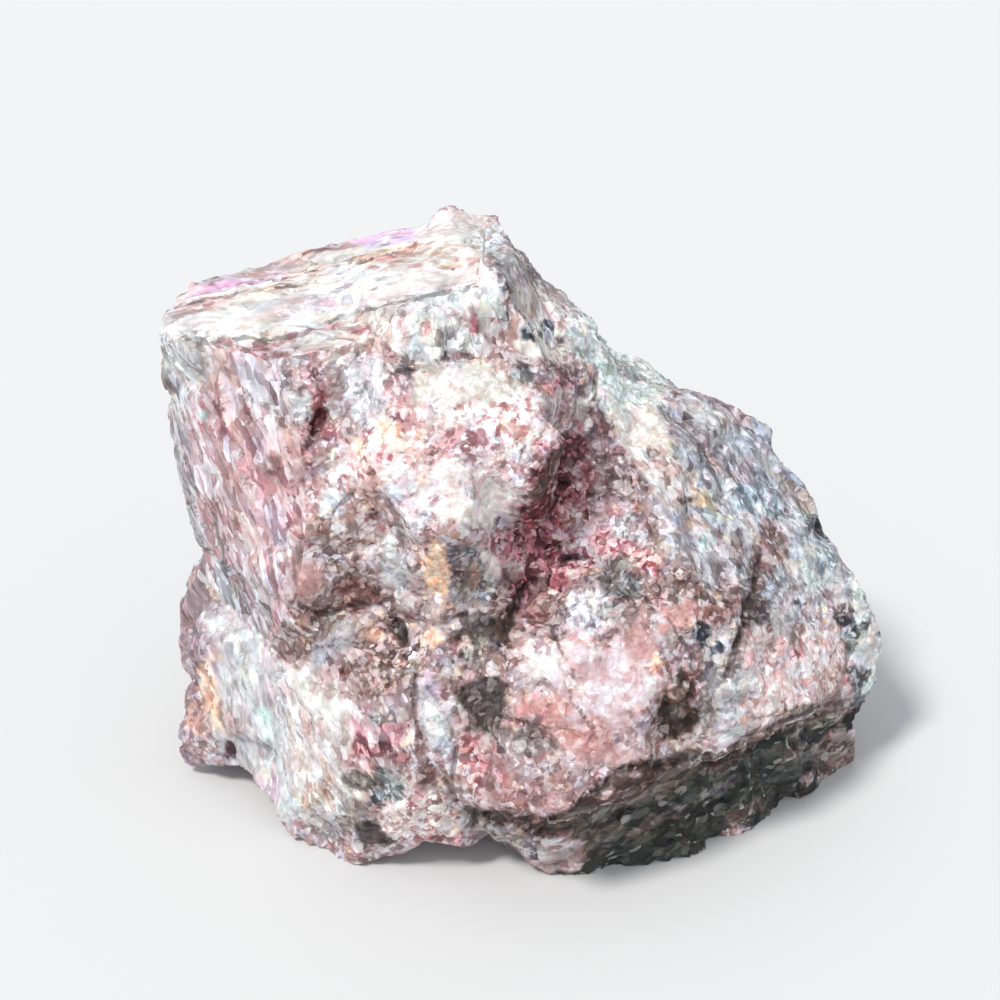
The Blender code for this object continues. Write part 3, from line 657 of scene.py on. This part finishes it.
    ("dark brown", 606, 786, 36, 8, -38, 0.95),
    ("dark brown", 637, 779, 24, 7, -20, 1.0),
    ("speckled brown", 612, 794, 18, 6, -22, 0.6),
    ("dark brown", 656, 764, 34, 7, -14, 0.9),
    ("dark brown", 734, 752, 36, 7, -30, 0.7),
    ("dark brown", 806, 716, 40, 6, -16, 0.6),
    ("end pink", 776, 696, 34, 13, -24, 1.0),
    ("under brown", 800, 712, 20, 6, -20, 0.9),
    ("salmon", 743, 712, 4, 13, -6, 0.8),
)

# Cracks, pits and grooves: half width in pixels, depth, and the line that each follows.
CUTS = (
    (2.6, 0.12, (
        (205, 350), (220, 342), (245, 337), (270, 342), (300, 335), (330, 321), (360, 312),
        (400, 301), (480, 286),
    )),
    (6.0, 0.65, ((320, 416), (315, 432), (310, 446))),
    (3.0, 0.30, ((300, 424), (314, 436), (330, 440))),
    (6.0, 0.55, ((400, 630), (404, 642))),
    (3.0, 0.35, ((564, 559), (578, 557), (594, 559))),
    (3.5, 0.35, ((760, 556), (752, 590), (742, 624), (732, 656), (727, 676))),
    (2.2, 0.12, ((690, 438), (701, 452), (712, 474), (722, 492))),
    (2.8, 0.22, ((373, 470), (382, 494), (392, 512), (402, 534), (413, 560))),
    (2.8, 0.22, ((373, 470), (356, 484), (342, 506), (322, 526))),
    (3.5, 0.25, ((501, 276), (505, 296), (510, 316))),
    (5.0, 0.40, ((524, 588), (512, 618), (500, 642), (494, 664))),
    (4.0, 0.35, ((228, 746), (234, 758))),
    (5.0, 0.35, (
        (466, 808), (500, 816), (525, 826), (560, 820), (588, 802), (608, 782), (628, 768), (664, 762),
        (704, 762), (750, 741), (782, 722), (816, 711), (838, 702),
    )),
    (3.0, 0.25, ((418, 668), (432, 690), (448, 716), (458, 748), (452, 780))),
    (3.0, 0.25, ((418, 668), (414, 706), (420, 744), (436, 774), (456, 800))),
    (2.6, 0.14, ((556, 636), (568, 664), (572, 702), (600, 742))),
    (2.6, 0.12, ((500, 716), (536, 726), (572, 734))),
    (4.0, 0.30, ((672, 680), (662, 708), (676, 738))),
    (3.0, 0.16, ((640, 592), (668, 618), (690, 648), (694, 672))),
    (3.0, 0.25, ((524, 508), (514, 534), (510, 560))),
    (3.0, 0.20, ((440, 362), (446, 356), (462, 352), (480, 362))),
    (3.0, 0.16, ((300, 604), (326, 616), (356, 604), (392, 600))),
    (2.6, 0.14, ((352, 772), (374, 790), (396, 798), (412, 812))),
    (2.6, 0.14, ((356, 760), (384, 762), (406, 752))),
    (3.5, 0.25, ((832, 602), (842, 622), (848, 644), (848, 668), (838, 694))),
    (2.6, 0.14, ((598, 372), (590, 404), (604, 450), (622, 500))),
    (2.6, 0.12, ((212, 470), (226, 560), (262, 640), (300, 672))),
)
# How many half widths a cut's sunk sides reach, and by how many pixels and in which waves its line
# wavers.
CUT_REACH = 1.6
CUT_WAVER, CUT_WAVER_WIDTH = 2.5, 1.0

# Rocks of the sides that the photograph doesn't show: the rock, how wide its clouds are, and the
# noise level that they start at. They begin this sharply.
HIDDEN_ROCKS = (
    ("streaky pink", 8.0, -0.10), ("pale grey", 6.5, 0.20), ("coarse pink", 6.0, 0.30),
    ("lilac grey", 6.0, 0.25), ("mauve brown", 5.0, 0.42), ("cap white", 5.0, 0.35),
    ("slope grey", 4.5, 0.60), ("green white", 4.0, 0.66), ("speckled brown", 3.5, 0.52),
    ("crimson", 2.4, 0.84), ("olive grey", 2.6, 0.70), ("cream", 3.0, 0.60),
    ("crimson pink", 2.0, 0.88), ("red brown", 1.8, 0.84), ("malachite", 1.2, 1.00),
    ("orange", 1.4, 1.00),
)
HIDDEN_GAIN = 6

# Tints that single grains take: how often, and the factors of red, green and blue.
TINTS = (
    (0.15, (1.40, 1.46, 1.48)),
    (0.11, (0.90, 0.98, 1.14)),
    (0.14, (1.10, 0.78, 0.82)),
    (0.12, (0.70, 0.60, 0.58)),
    (0.05, (0.94, 1.08, 0.98)),
    (0.05, (1.22, 1.02, 0.78)),
)

# Where each noise starts and the step to the next one of its kind, so that no two are alike.
SEEDS = {
    "facet bends": (40, 3), "streaks": (60, 0), "facets": (100, 20), "dust": (300, 0),
    "hidden rocks": (500, 11), "patches": (700, 20), "rims": (730, 5), "front": (740, 0),
    "mineral bend": (750, 0), "minerals": (760, 30), "cuts": (800, 10),
}
# Large odd numbers that stir whole numbers into random ones, and the bits that they are folded by.
STIR_AXES = (0x9E3779B97F4A7C15, 0xC2B2AE3D27D4EB4F, 0x165667B19E3779F9)
STIR_AGAIN = 0xFF51AFD7ED558CCD
STIR_FOLDS = (33, 29, 32)
STIR_SALT = 7919
OCTAVE_SHIFT = 17.3

# Columns of the rock values.
COLOURS = slice(0, 9)
SHARES = slice(9, 12)
RELIEF = 12


def seed(name, number=0):
    """Where the noise of this name and number starts."""
    start, step = SEEDS[name]
    return start + step * number


def mixed(cells, salt):
    """A repeatable random number from 0 to 1 for each row of whole numbers."""
    code = np.uint64(0)
    for axis, factor in enumerate(STIR_AXES):
        code = code ^ cells[:, axis].astype(np.uint64) * np.uint64(factor)
    code = code + np.uint64(salt * STIR_SALT + 1)
    for fold in STIR_FOLDS:
        code = (code ^ (code >> np.uint64(fold))) * np.uint64(STIR_AGAIN)
    return (code >> np.uint64(40)).astype(float) / float(1 << 24)


def another(chance):
    """A second random number from 0 to 1, made from a first one."""
    return chance * STIR_SALT % 1


def clouds(points, width, salt, octaves=3):
    """Smooth noise from about -1 to 1, with lumps of this width and finer ones on them."""
    total = np.zeros(len(points))
    for octave in range(octaves):
        scaled = points * (2 ** octave / width) + OCTAVE_SHIFT * octave
        cell = np.floor(scaled).astype(np.int64)
        part = scaled - cell
        ease = part * part * part * (part * (part * 6 - 15) + 10)
        value = np.zeros(len(points))
        for corner in itertools.product((0, 1), repeat=3):
            share = np.prod(np.where(corner, ease, 1 - ease), axis=1)
            value += share * mixed(cell + np.array(corner), salt + octave)
        total += (value * 2 - 1) / 2 ** octave
    return total


def grains(points, width, salt):
    """The grain that each point is in: the grain's middle, and three random numbers of its own."""
    scaled = points / width
    home = np.floor(scaled).astype(np.int64)
    nearest = np.full(len(points), np.inf)
    middle = np.zeros_like(scaled)
    owner = np.zeros_like(home)
    for step in itertools.product((-1, 0, 1), repeat=3):
        cell = home + np.array(step)
        place = cell + np.stack([mixed(cell, salt + axis) for axis in range(3)], axis=1)
        gap = ((scaled - place) ** 2).sum(axis=1)
        closer = gap < nearest
        nearest[closer] = gap[closer]
        middle[closer] = place[closer]
        owner[closer] = cell[closer]
    own = np.stack([mixed(owner, salt + 10 + axis) for axis in range(3)], axis=1)
    return middle * width, own


def camera_place():
    """Where the camera stands, and the direction that it looks in."""
    look = Vector((0, math.cos(CAMERA_ELEVATION), -math.sin(CAMERA_ELEVATION)))
    return CAMERA_TARGET - look * CAMERA_DISTANCE, look


def in_photo(points):
    """The pixels that points in millimetres are seen at."""
    place, look = camera_place()
    up = Vector((0, math.sin(CAMERA_ELEVATION), math.cos(CAMERA_ELEVATION)))
    offsets = points - np.array(place)
    depth = offsets @ np.array(look)
    scale = CAMERA_LENS / CAMERA_SENSOR * PHOTO_SIZE / depth
    across = PHOTO_SIZE / 2 + offsets[:, 0] * scale
    down = PHOTO_SIZE / 2 - (offsets @ np.array(up)) * scale
    return across, down


def skin_from_solid(solid):
    """The CAD solid's skin in millimetres, as an even mesh."""
    mesh = solid.data.copy()
    mesh.transform(solid.matrix_world)
    helper = bpy.data.objects.new("skin_helper", mesh)
    bpy.context.scene.collection.objects.link(helper)
    bm = bmesh.new()
    bm.from_mesh(mesh)
    bmesh.ops.remove_doubles(bm, verts=bm.verts, dist=1e-6)
    bmesh.ops.scale(bm, verts=bm.verts, vec=(1 / MM, 1 / MM, 1 / MM))
    bm.to_mesh(mesh)
    tree = BVHTree.FromBMesh(bm)
    bm.free()
    join = helper.modifiers.new("Join", "REMESH")
    join.mode = "VOXEL"
    join.voxel_size = SKIN_GRAIN
    bpy.context.view_layer.update()
    evaluated = helper.evaluated_get(bpy.context.evaluated_depsgraph_get())
    bm = bmesh.new()
    bm.from_mesh(evaluated.to_mesh())
    bpy.data.objects.remove(helper)
    bmesh.ops.triangulate(bm, faces=bm.faces)
    return bm, tree


def split_seen_faces(bm):
    """Splits the triangles that face the camera."""
    place, _ = camera_place()
    bm.normal_update()
    edges = set()
    for face in bm.faces:
        towards = (place - face.calc_center_median()).normalized()
        if face.normal.dot(towards) > FINE_FACING:
            edges.update(face.edges)
    bmesh.ops.subdivide_edges(bm, edges=sorted(edges, key=lambda edge: edge.index), cuts=1)
    bmesh.ops.triangulate(bm, faces=[face for face in bm.faces if len(face.verts) > 3])


def in_ellipse(across, down, place):
    """How far out of an ellipse of the photograph each pixel is: 1 is on its edge."""
    u, v, half_width, half_height, turn = place
    cosine, sine = math.cos(math.radians(turn)), math.sin(math.radians(turn))
    along = ((across - u) * cosine + (down - v) * sine) / half_width
    athwart = ((down - v) * cosine - (across - u) * sine) / half_height
    return np.sqrt(along ** 2 + athwart ** 2)


def within(reach, fade):
    """The cover of a place at this reach: whole inside, and fading over a band that ends at its rim."""
    rim, band = fade
    return np.clip((rim - reach) / band, 0, 1)


def streaked(points, facing):
    """The points squeezed along the way that their grains run, and how streaked the ground is."""
    across, down = in_photo(points)
    shown = np.clip(facing * SHOWN_GAIN, 0, 1)
    ways = [(np.array(HIDDEN_STREAK), HIDDEN_STREAK_LENGTH)]
    covers = [np.clip(clouds(points, HIDDEN_STREAK_WIDTH, seed("streaks"), 2) * 2, 0, 1) * (1 - shown)]
    for *place, way, length in STREAKS:
        ways.append((np.array(way), length))
        covers.append(within(in_ellipse(across, down, place), STREAK_FADE) * shown)
    covers = np.array(covers)
    best = covers.argmax(axis=0)
    ranked = np.sort(covers, axis=0)
    streak = np.clip(STREAK_PARTING * (ranked[-1] - ranked[-2]), 0, ranked[-1])
    squeezed = points.copy()
    for number, (way, length) in enumerate(ways):
        mine = best == number
        unit = way / np.linalg.norm(way)
        along = points[mine] @ unit
        squeezed[mine] -= (1 - 1 / length) * along[:, None] * unit
    return squeezed, streak


def bent(points, width, amount, salt):
    """The points shaken by noise, so that grains found from them have ragged edges."""
    shake = [clouds(points, width, salt + 5 * axis, 2) for axis in range(3)]
    return points + amount * width * np.stack(shake, axis=1)


def cut_into(points, facing):
    """How near each point is to a cut, 1 on its line and 0 at its rim, and how deep it is cut there."""
    across, down = in_photo(points)
    across = across + CUT_WAVER * clouds(points, CUT_WAVER_WIDTH, seed("cuts", 0), 2)
    down = down + CUT_WAVER * clouds(points, CUT_WAVER_WIDTH, seed("cuts", 1), 2)
    near = np.full(len(points), -1.0)
    depth = np.zeros(len(points))
    for half_width, deepest, line in CUTS:
        gap = np.full(len(points), np.inf)
        for (u, v), (next_u, next_v) in zip(line, line[1:]):
            run, drop = next_u - u, next_v - v
            share = np.clip(((across - u) * run + (down - v) * drop) / (run ** 2 + drop ** 2), 0, 1)
            gap = np.minimum(gap, np.hypot(across - u - share * run, down - v - share * drop))
        inside = np.clip(1 - gap / half_width, -1, 1)
        near = np.maximum(near, inside)
        depth = np.maximum(depth, deepest * np.clip(1 - gap / (CUT_REACH * half_width), 0, 1))
    shown = np.clip(facing * SHOWN_GAIN, 0, 1)
    return np.where(shown > 0, near, -1.0), depth * shown


def lay_on_solid(bm, solid_tree):
    """Moves the skin's points onto the solid, so that its fracture edges stay crisp."""
    for vert in bm.verts:
        nearest, _, _, gap = solid_tree.find_nearest(vert.co)
        if nearest is not None and gap < SKIN_GRAIN:
            vert.co = vert.co.lerp(nearest, LAID_BACK)


def displaced(points, normals, squeezed, streak, relief, depth):
    """The points after the facets, the dust and the cuts are added along the normals."""
    height = np.zeros(len(points))
    for number, (width, lean, step) in enumerate(FACETS):
        for space, share in ((points, 1 - streak), (squeezed, streak)):
            place = bent(space, width, FACET_BEND, seed("facet bends", number))
            middle, own = grains(place, width, seed("facets", number))
            tilt = (own - 0.5) * 2
            height += share * (lean * ((place - middle) * tilt).sum(axis=1) + step * tilt[:, 0])
    width, amount = DUST
    height += amount * clouds(points, width, seed("dust"), 2)
    return points + (SWELL + relief * height - depth)[:, None] * normals


def linear(colour):
    """An sRGB colour of 0 to 255 as linear light."""
    share = np.array(colour, float) / 255
    return np.where(share <= 0.04045, share / 12.92, ((share + 0.055) / 1.055) ** 2.4)


def rock_values(name):
    """A rock as one row: base, light and dark colour, light share, dark share, roughness and relief."""
    base, light, dark, *shares = ROCKS[name]
    return np.concatenate([linear(base), linear(light), linear(dark), shares])


def patched(across, down, edges):
    """The rock values of the photograph's patches at these pixels; edges holds noise for ragged rims."""
    shown = np.tile(rock_values(GROUND_ROCK), (len(across), 1))
    for name, *place, strength in PATCHES:
        size = min(place[2], place[3])
        rim = edges[sum(size > limit for limit in RIM_SIZES)]
        reach = in_ellipse(across, down, place) + RIM_DEPTH * rim
        share = strength * within(reach, PATCH_FADE)[:, None]
        shown = shown * (1 - share) + share * rock_values(name)
    return shown


def tint_of(chance):
    """The tint that each grain takes from its own chance of 0 to 1."""
    factors = np.ones((len(chance), 3))
    start = 0.0
    for share, factor in TINTS:
        factors[(chance >= start) & (chance < start + share)] = factor
        start += share
    return factors


def painted(points, facing, squeezed, streak):
    """The rock values at each point: the photograph's patches in front, and clouds of rock elsewhere."""
    hidden = np.tile(rock_values(GROUND_ROCK), (len(points), 1))
    for number, (name, width, level) in enumerate(HIDDEN_ROCKS):
        cover = clouds(squeezed, width, seed("hidden rocks", number), 4)
        share = np.clip((cover - level) * HIDDEN_GAIN, 0, 1)[:, None]
        hidden = hidden * (1 - share) + share * rock_values(name)

    across, down = in_photo(points)
    across = across + PATCH_WAVER * clouds(points, PATCH_WAVER_WIDTH, seed("patches", 0), 3)
    down = down + PATCH_WAVER * clouds(points, PATCH_WAVER_WIDTH, seed("patches", 1), 3)
    space = np.where(streak[:, None] > DRAWN_FROM, squeezed, points)
    edges = [clouds(space, width, seed("rims", number), 3) for number, width in enumerate(RIM_WIDTHS)]
    layers = []
    tints = []
    for number, (width, reach) in enumerate(MINERAL_GRAINS):
        place = bent(space, width, MINERAL_BEND, seed("mineral bend"))
        _, own = grains(place, width, seed("minerals", number))
        far = np.where(own[:, 2] > 1 - STRAY_SHARE, STRAY_REACH, reach) * own[:, 1]
        turn = own[:, 0] * 2 * math.pi
        layers.append(patched(across + far * np.cos(turn), down + far * np.sin(turn), edges))
        tints.append(tint_of(another(own[:, 1])))
    coarse, fine = layers
    shown = np.where(another(own[:, 0:1]) < 0.5, coarse, fine)
    ragged = FRONT_RAGGED * clouds(points, FRONT_WIDTH, seed("front"), 2)
    front = np.clip(facing * FRONT_GAIN + ragged, 0, 1)[:, None]
    values = hidden * (1 - front) + front * shown
    strength = TINT_STRENGTH * np.clip(values[:, RELIEF:], 0, 1)
    values[:, COLOURS] *= np.tile((tints[0] ** (0.5 * strength)) * (tints[1] ** strength), 3)
    values[:, COLOURS] = np.minimum(values[:, COLOURS], BRIGHTEST)
    return values


def add_attribute(mesh, name, kind, values):
    """Writes one value or vector or colour for each point of the mesh."""
    attribute = mesh.attributes.new(name, kind, "POINT")
    key = {"FLOAT": "value", "FLOAT_VECTOR": "vector", "FLOAT_COLOR": "color"}[kind]
    attribute.data.foreach_set(key, np.ascontiguousarray(values, np.float32).ravel())


def with_alpha(colours):
    """The colours with a full alpha after each."""
    return np.concatenate([colours, np.ones((len(colours), 1))], axis=1)


class Nodes:
    """Small helper that adds and links shader nodes."""

    def __init__(self, tree):
        self.tree = tree

    def add(self, kind, **settings):
        node = self.tree.nodes.new(kind)
        for key, value in settings.items():
            setattr(node, key, value)
        return node

    def link(self, source, target):
        self.tree.links.new(source, target)

    def set(self, socket, value):
        if hasattr(value, "is_linked"):
            self.link(value, socket)
        else:
            socket.default_value = value

    def math(self, operation, a, b=0.0, clamp=False):
        node = self.add("ShaderNodeMath", operation=operation, use_clamp=clamp)
        self.set(node.inputs[0], a)
        self.set(node.inputs[1], b)
        return node.outputs[0]

    def mix(self, share, a, b, kind="MIX"):
        node = self.add("ShaderNodeMix", data_type="RGBA", blend_type=kind)
        self.set(node.inputs["Factor"], share)
        self.set(node.inputs[6], a)
        self.set(node.inputs[7], b)
        return node.outputs[2]

    def above(self, value, limit, sharpness):
        """How far a value is above a limit, times the sharpness, from 0 to 1."""
        return self.math("MULTIPLY", self.math("SUBTRACT", value, limit), sharpness, True)

    def attribute(self, name, output="Fac"):
        return self.add("ShaderNodeAttribute", attribute_name=name).outputs[output]

    def vector(self, operation, a, b):
        node = self.add("ShaderNodeVectorMath", operation=operation)
        self.set(node.inputs[0], a)
        self.set(node.inputs[1], b)
        return node.outputs["Value" if operation == "DOT_PRODUCT" else "Vector"]

    def cells(self, coords, scale, feature="F1"):
        node = self.add("ShaderNodeTexVoronoi", feature=feature)
        self.link(coords, node.inputs["Vector"])
        node.inputs["Scale"].default_value = scale
        return node

    def noise(self, coords, scale, detail):
        node = self.add("ShaderNodeTexNoise")
        self.link(coords, node.inputs["Vector"])
        node.inputs["Scale"].default_value = scale
        node.inputs["Detail"].default_value = detail
        return node


def scaled(nodes, noise, target):
    """A noise value brought from its usual middle range to a target range."""
    node = nodes.add("ShaderNodeMapRange")
    nodes.link(noise, node.inputs["Value"])
    for name, value in zip(("From Min", "From Max", "To Min", "To Max"), (*NOISE_MIDDLE, *target)):
        node.inputs[name].default_value = value
    return node.outputs["Result"]


def shaken(nodes, coords):
    """Coordinates bent by coarse and fine noise, so that cells have ragged edges."""
    for scale, amount in CELL_BENDS:
        shift = nodes.add("ShaderNodeVectorMath", operation="MULTIPLY_ADD")
        nodes.link(nodes.noise(coords, scale, BEND_DETAIL).outputs["Color"], shift.inputs[0])
        shift.inputs[1].default_value = (amount, amount, amount)
        nodes.link(coords, shift.inputs[2])
        coords = shift.outputs[0]
    return coords


def grain_space(nodes):
    """The space that the fine grain is made in: drawn out on streaked ground, plain elsewhere."""
    space = nodes.add("ShaderNodeMix", data_type="VECTOR")
    nodes.link(nodes.math("GREATER_THAN", nodes.attribute("streak"), DRAWN_FROM), space.inputs["Factor"])
    nodes.link(nodes.attribute("plain_space", "Vector"), space.inputs[4])
    nodes.link(nodes.attribute("drawn_space", "Vector"), space.inputs[5])
    return shaken(nodes, space.outputs[1])


def facet_height(nodes, coords, cells):
    """A height that leans its own way over each cell, as a crystal's face does."""
    away = nodes.vector("SUBTRACT", coords, cells.outputs["Position"])
    lean = nodes.vector("SUBTRACT", cells.outputs["Color"], (0.5, 0.5, 0.5))
    return nodes.vector("DOT_PRODUCT", away, lean)


def flecked(nodes, coords, tones, light_share, dark_share):
    """The base colour with light and dark grains of each size; the cells, and their random numbers."""
    colour, light, dark = tones
    light_limit = nodes.math("SUBTRACT", 1.0, light_share)
    sizes = []
    picks = []
    for scale, strength, _ in FINE_CELLS:
        cells = nodes.cells(coords, scale)
        pick = nodes.add("ShaderNodeSeparateColor")
        nodes.link(cells.outputs["Color"], pick.inputs[0])
        is_light = nodes.above(pick.outputs[0], light_limit, FINE_SHARPNESS)
        is_dark = nodes.above(dark_share, pick.outputs[1], FINE_SHARPNESS)
        colour = nodes.mix(nodes.math("MULTIPLY", is_light, strength), colour, light)
        colour = nodes.mix(nodes.math("MULTIPLY", is_dark, strength), colour, dark)
        sizes.append(cells)
        picks.append(pick.outputs)
    return colour, sizes, picks


def glints(nodes, picks, light_share):
    """Where middling and fine grains glint: a painted highlight in the colour, and a smoother gloss."""
    limit = nodes.math("SUBTRACT", 1.0, nodes.math("MULTIPLY", light_share, GLINT_SHARE))
    middling, fine = (nodes.above(pick[2], limit, SPOT_SHARPNESS) for pick in picks[1:])
    return nodes.math("MAXIMUM", middling, fine)


def gaps(nodes, coords, picks, dark_share):
    """Where gaps between grains, holes and broken cuts are painted dark as shade; and the holes and cuts
    alone.
    """
    borders = nodes.cells(coords, GAP_CELLS, "DISTANCE_TO_EDGE").outputs["Distance"]
    gap = nodes.math("SUBTRACT", 1.0, nodes.math("DIVIDE", borders, GAP_WIDTH), True)
    ground = nodes.noise(coords, OPEN_WAVES, OPEN_DETAIL).outputs["Fac"]
    opened = nodes.math("MULTIPLY", nodes.above(ground, OPEN_LEVEL, OPEN_SHARPNESS), OPEN_COVER)
    hole = nodes.above(nodes.math("MULTIPLY", dark_share, HOLE_SHARE), picks[1][0], SPOT_SHARPNESS)
    broken = nodes.above(picks[0][2], BREAK_LEVEL, BREAK_SHARPNESS)
    cut = nodes.math("MULTIPLY", nodes.attribute("cut"), CUT_SHARPNESS, True)
    sunk = nodes.math("MAXIMUM", hole, nodes.math("MULTIPLY", cut, broken))
    return nodes.math("MAXIMUM", nodes.math("MULTIPLY", gap, opened), sunk), sunk


def stone_material():
    """The minerals: colours of the skin's rocks, broken up into fine grains, with painted glints and painted
    shade in the gaps between them.
    """
    material = bpy.data.materials.new("dolomite_minerals")
    material.use_nodes = True
    nodes = Nodes(material.node_tree)
    shader = material.node_tree.nodes["Principled BSDF"]

    tones = [nodes.attribute(name, "Color") for name in ("base_tone", "light_tone", "dark_tone")]
    shares = nodes.add("ShaderNodeSeparateXYZ")
    nodes.link(nodes.attribute("shares", "Vector"), shares.inputs[0])
    light_share, dark_share, roughness = shares.outputs

    coords = grain_space(nodes)
    colour, sizes, picks = flecked(nodes, coords, tones, light_share, dark_share)
    glint = glints(nodes, picks, light_share)
    # Painted highlight: glinting grains are whitened in the colour.
    bright = nodes.mix(PAINTED_GLINT_WHITE, tones[1], (*linear(PAINTED_GLINT_COLOUR), 1))
    colour = nodes.mix(nodes.math("MULTIPLY", glint, PAINTED_GLINT_COVER), colour, bright)
    # Painted shade: gaps, holes and broken cuts are darkened from the rock's dark tone towards near black.
    gap, sunk = gaps(nodes, coords, picks, dark_share)
    deep = nodes.mix(PAINTED_SHADE_SHARE, tones[2], PAINTED_SHADE_COLOUR)
    colour = nodes.mix(nodes.math("MULTIPLY", gap, GAP_PAINTED_SHADE_COVER), colour, deep)

    veil = nodes.noise(coords, VEIL_WAVES, VEIL_DETAIL).outputs["Fac"]
    shade = nodes.add("ShaderNodeVectorMath", operation="SCALE")
    nodes.link(colour, shade.inputs[0])
    nodes.link(scaled(nodes, veil, VEIL_SHADE), shade.inputs["Scale"])
    nodes.link(shade.outputs[0], shader.inputs["Base Color"])

    gleam = nodes.math("MULTIPLY", nodes.math("SUBTRACT", picks[1][1], 0.5), GLEAM_RANGE)
    smoother = nodes.math("MULTIPLY", glint, GLINT_GLOSS)
    gloss = nodes.math("SUBTRACT", nodes.math("ADD", roughness, gleam), smoother)
    nodes.link(nodes.math("MAXIMUM", gloss, SMOOTHEST), shader.inputs["Roughness"])

    height = nodes.math("SUBTRACT", scaled(nodes, veil, VEIL_LIFT), nodes.math("MULTIPLY", sunk, SUNK_DEPTH))
    for cells, (_, _, lean) in zip(sizes, FINE_CELLS):
        height = nodes.math("ADD", height, nodes.math("MULTIPLY", facet_height(nodes, coords, cells), lean))
    height = nodes.math("MULTIPLY", height, nodes.attribute("relief"))
    bump = nodes.add("ShaderNodeBump")
    bump.inputs["Strength"].default_value = BUMP_STRENGTH
    bump.inputs["Distance"].default_value = MM
    nodes.link(height, bump.inputs["Height"])
    nodes.link(bump.outputs["Normal"], shader.inputs["Normal"])
    return material


def make_stone(solid):
    """The stone: the solid's skin with its facets, cuts and minerals."""
    bm, solid_tree = skin_from_solid(solid)
    split_seen_faces(bm)
    lay_on_solid(bm, solid_tree)
    bm.normal_update()
    bm.verts.index_update()
    points = np.array([vert.co for vert in bm.verts])
    normals = np.array([vert.normal for vert in bm.verts])

    place, _ = camera_place()
    towards = np.array(place) - points
    towards /= np.linalg.norm(towards, axis=1)[:, None]
    facing = (normals * towards).sum(axis=1)

    squeezed, streak = streaked(points, facing)
    values = painted(points, facing, squeezed, streak)
    near_cut, depth = cut_into(points, facing)
    moved = displaced(points, normals, squeezed, streak, values[:, RELIEF], depth)
    across, _ = in_photo(points)
    moved[:, 0] -= FLANK_PUSH * np.clip((FLANK_FROM - across) / FLANK_OVER, 0, 1)
    resting = (points[:, 2] < REST_HEIGHT) & (normals[:, 2] < REST_NORMAL)
    moved[resting] = points[resting]
    moved[:, 2] = np.maximum(moved[:, 2], 0)
    moved = np.clip(moved, np.array(cad_low) / MM - BOX_MARGIN, np.array(cad_high) / MM + BOX_MARGIN)

    for vert, point in zip(bm.verts, moved):
        vert.co = point * MM
    mesh = bpy.data.meshes.new("stone")
    bm.to_mesh(mesh)
    bm.free()
    mesh.shade_smooth()
    mesh.set_sharp_from_angle(angle=SHARP_ANGLE)
    for name, tone in zip(("base_tone", "light_tone", "dark_tone"), np.split(values[:, COLOURS], 3, axis=1)):
        add_attribute(mesh, name, "FLOAT_COLOR", with_alpha(tone))
    add_attribute(mesh, "shares", "FLOAT_VECTOR", values[:, SHARES])
    add_attribute(mesh, "relief", "FLOAT", values[:, RELIEF])
    add_attribute(mesh, "cut", "FLOAT", near_cut)
    add_attribute(mesh, "plain_space", "FLOAT_VECTOR", points)
    add_attribute(mesh, "drawn_space", "FLOAT_VECTOR", squeezed)
    add_attribute(mesh, "streak", "FLOAT", streak)
    mesh.materials.append(stone_material())
    stone = bpy.data.objects.new("stone", mesh)
    bpy.context.scene.collection.objects.link(stone)
    return stone


def make_floor():
    """The plain pale floor that the stone stands on."""
    mesh = bpy.data.meshes.new("floor")
    corners = [(across * FLOOR_HALF_M, along * FLOOR_HALF_M, 0)
               for across, along in ((-1, -1), (1, -1), (1, 1), (-1, 1))]
    mesh.from_pydata(corners, [], [(0, 1, 2, 3)])
    material = bpy.data.materials.new("floor")
    material.use_nodes = True
    shader = material.node_tree.nodes["Principled BSDF"]
    shader.inputs["Base Color"].default_value = FLOOR_COLOUR
    shader.inputs["Roughness"].default_value = FLOOR_ROUGHNESS
    mesh.materials.append(material)
    floor = bpy.data.objects.new("floor", mesh)
    bpy.context.scene.collection.objects.link(floor)
    return floor


def make_camera():
    """The photograph's camera."""
    place, look = camera_place()
    data = bpy.data.cameras.new("photo_camera")
    data.lens = CAMERA_LENS
    data.sensor_width = CAMERA_SENSOR
    data.clip_start = CAMERA_NEAR_M
    camera = bpy.data.objects.new("photo_camera", data)
    camera.location = place * MM
    camera.rotation_mode = "QUATERNION"
    camera.rotation_quaternion = look.to_track_quat("-Z", "Y")
    bpy.context.scene.collection.objects.link(camera)
    bpy.context.scene.camera = camera


def make_light():
    """A soft pale sky and a soft key light from the upper left."""
    world = bpy.data.worlds.new("sky")
    world.use_nodes = True
    background = world.node_tree.nodes["Background"]
    background.inputs["Color"].default_value = SKY_COLOUR
    background.inputs["Strength"].default_value = SKY_STRENGTH
    bpy.context.scene.world = world
    key = bpy.data.lights.new("key", "SUN")
    key.energy = KEY_STRENGTH
    key.angle = KEY_ANGLE
    key.color = KEY_COLOUR
    sun = bpy.data.objects.new("key", key)
    sun.rotation_mode = "QUATERNION"
    sun.rotation_quaternion = KEY_TRAVELS.to_track_quat("-Z", "Y")
    bpy.context.scene.collection.objects.link(sun)


bpy.context.scene.view_settings.view_transform = "Standard"
bpy.context.scene.view_settings.look = "None"
stone = make_stone(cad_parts["dolomite_stone"])
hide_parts("dolomite_stone")
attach(stone, "root")
floor = make_floor()
make_camera()
make_light()
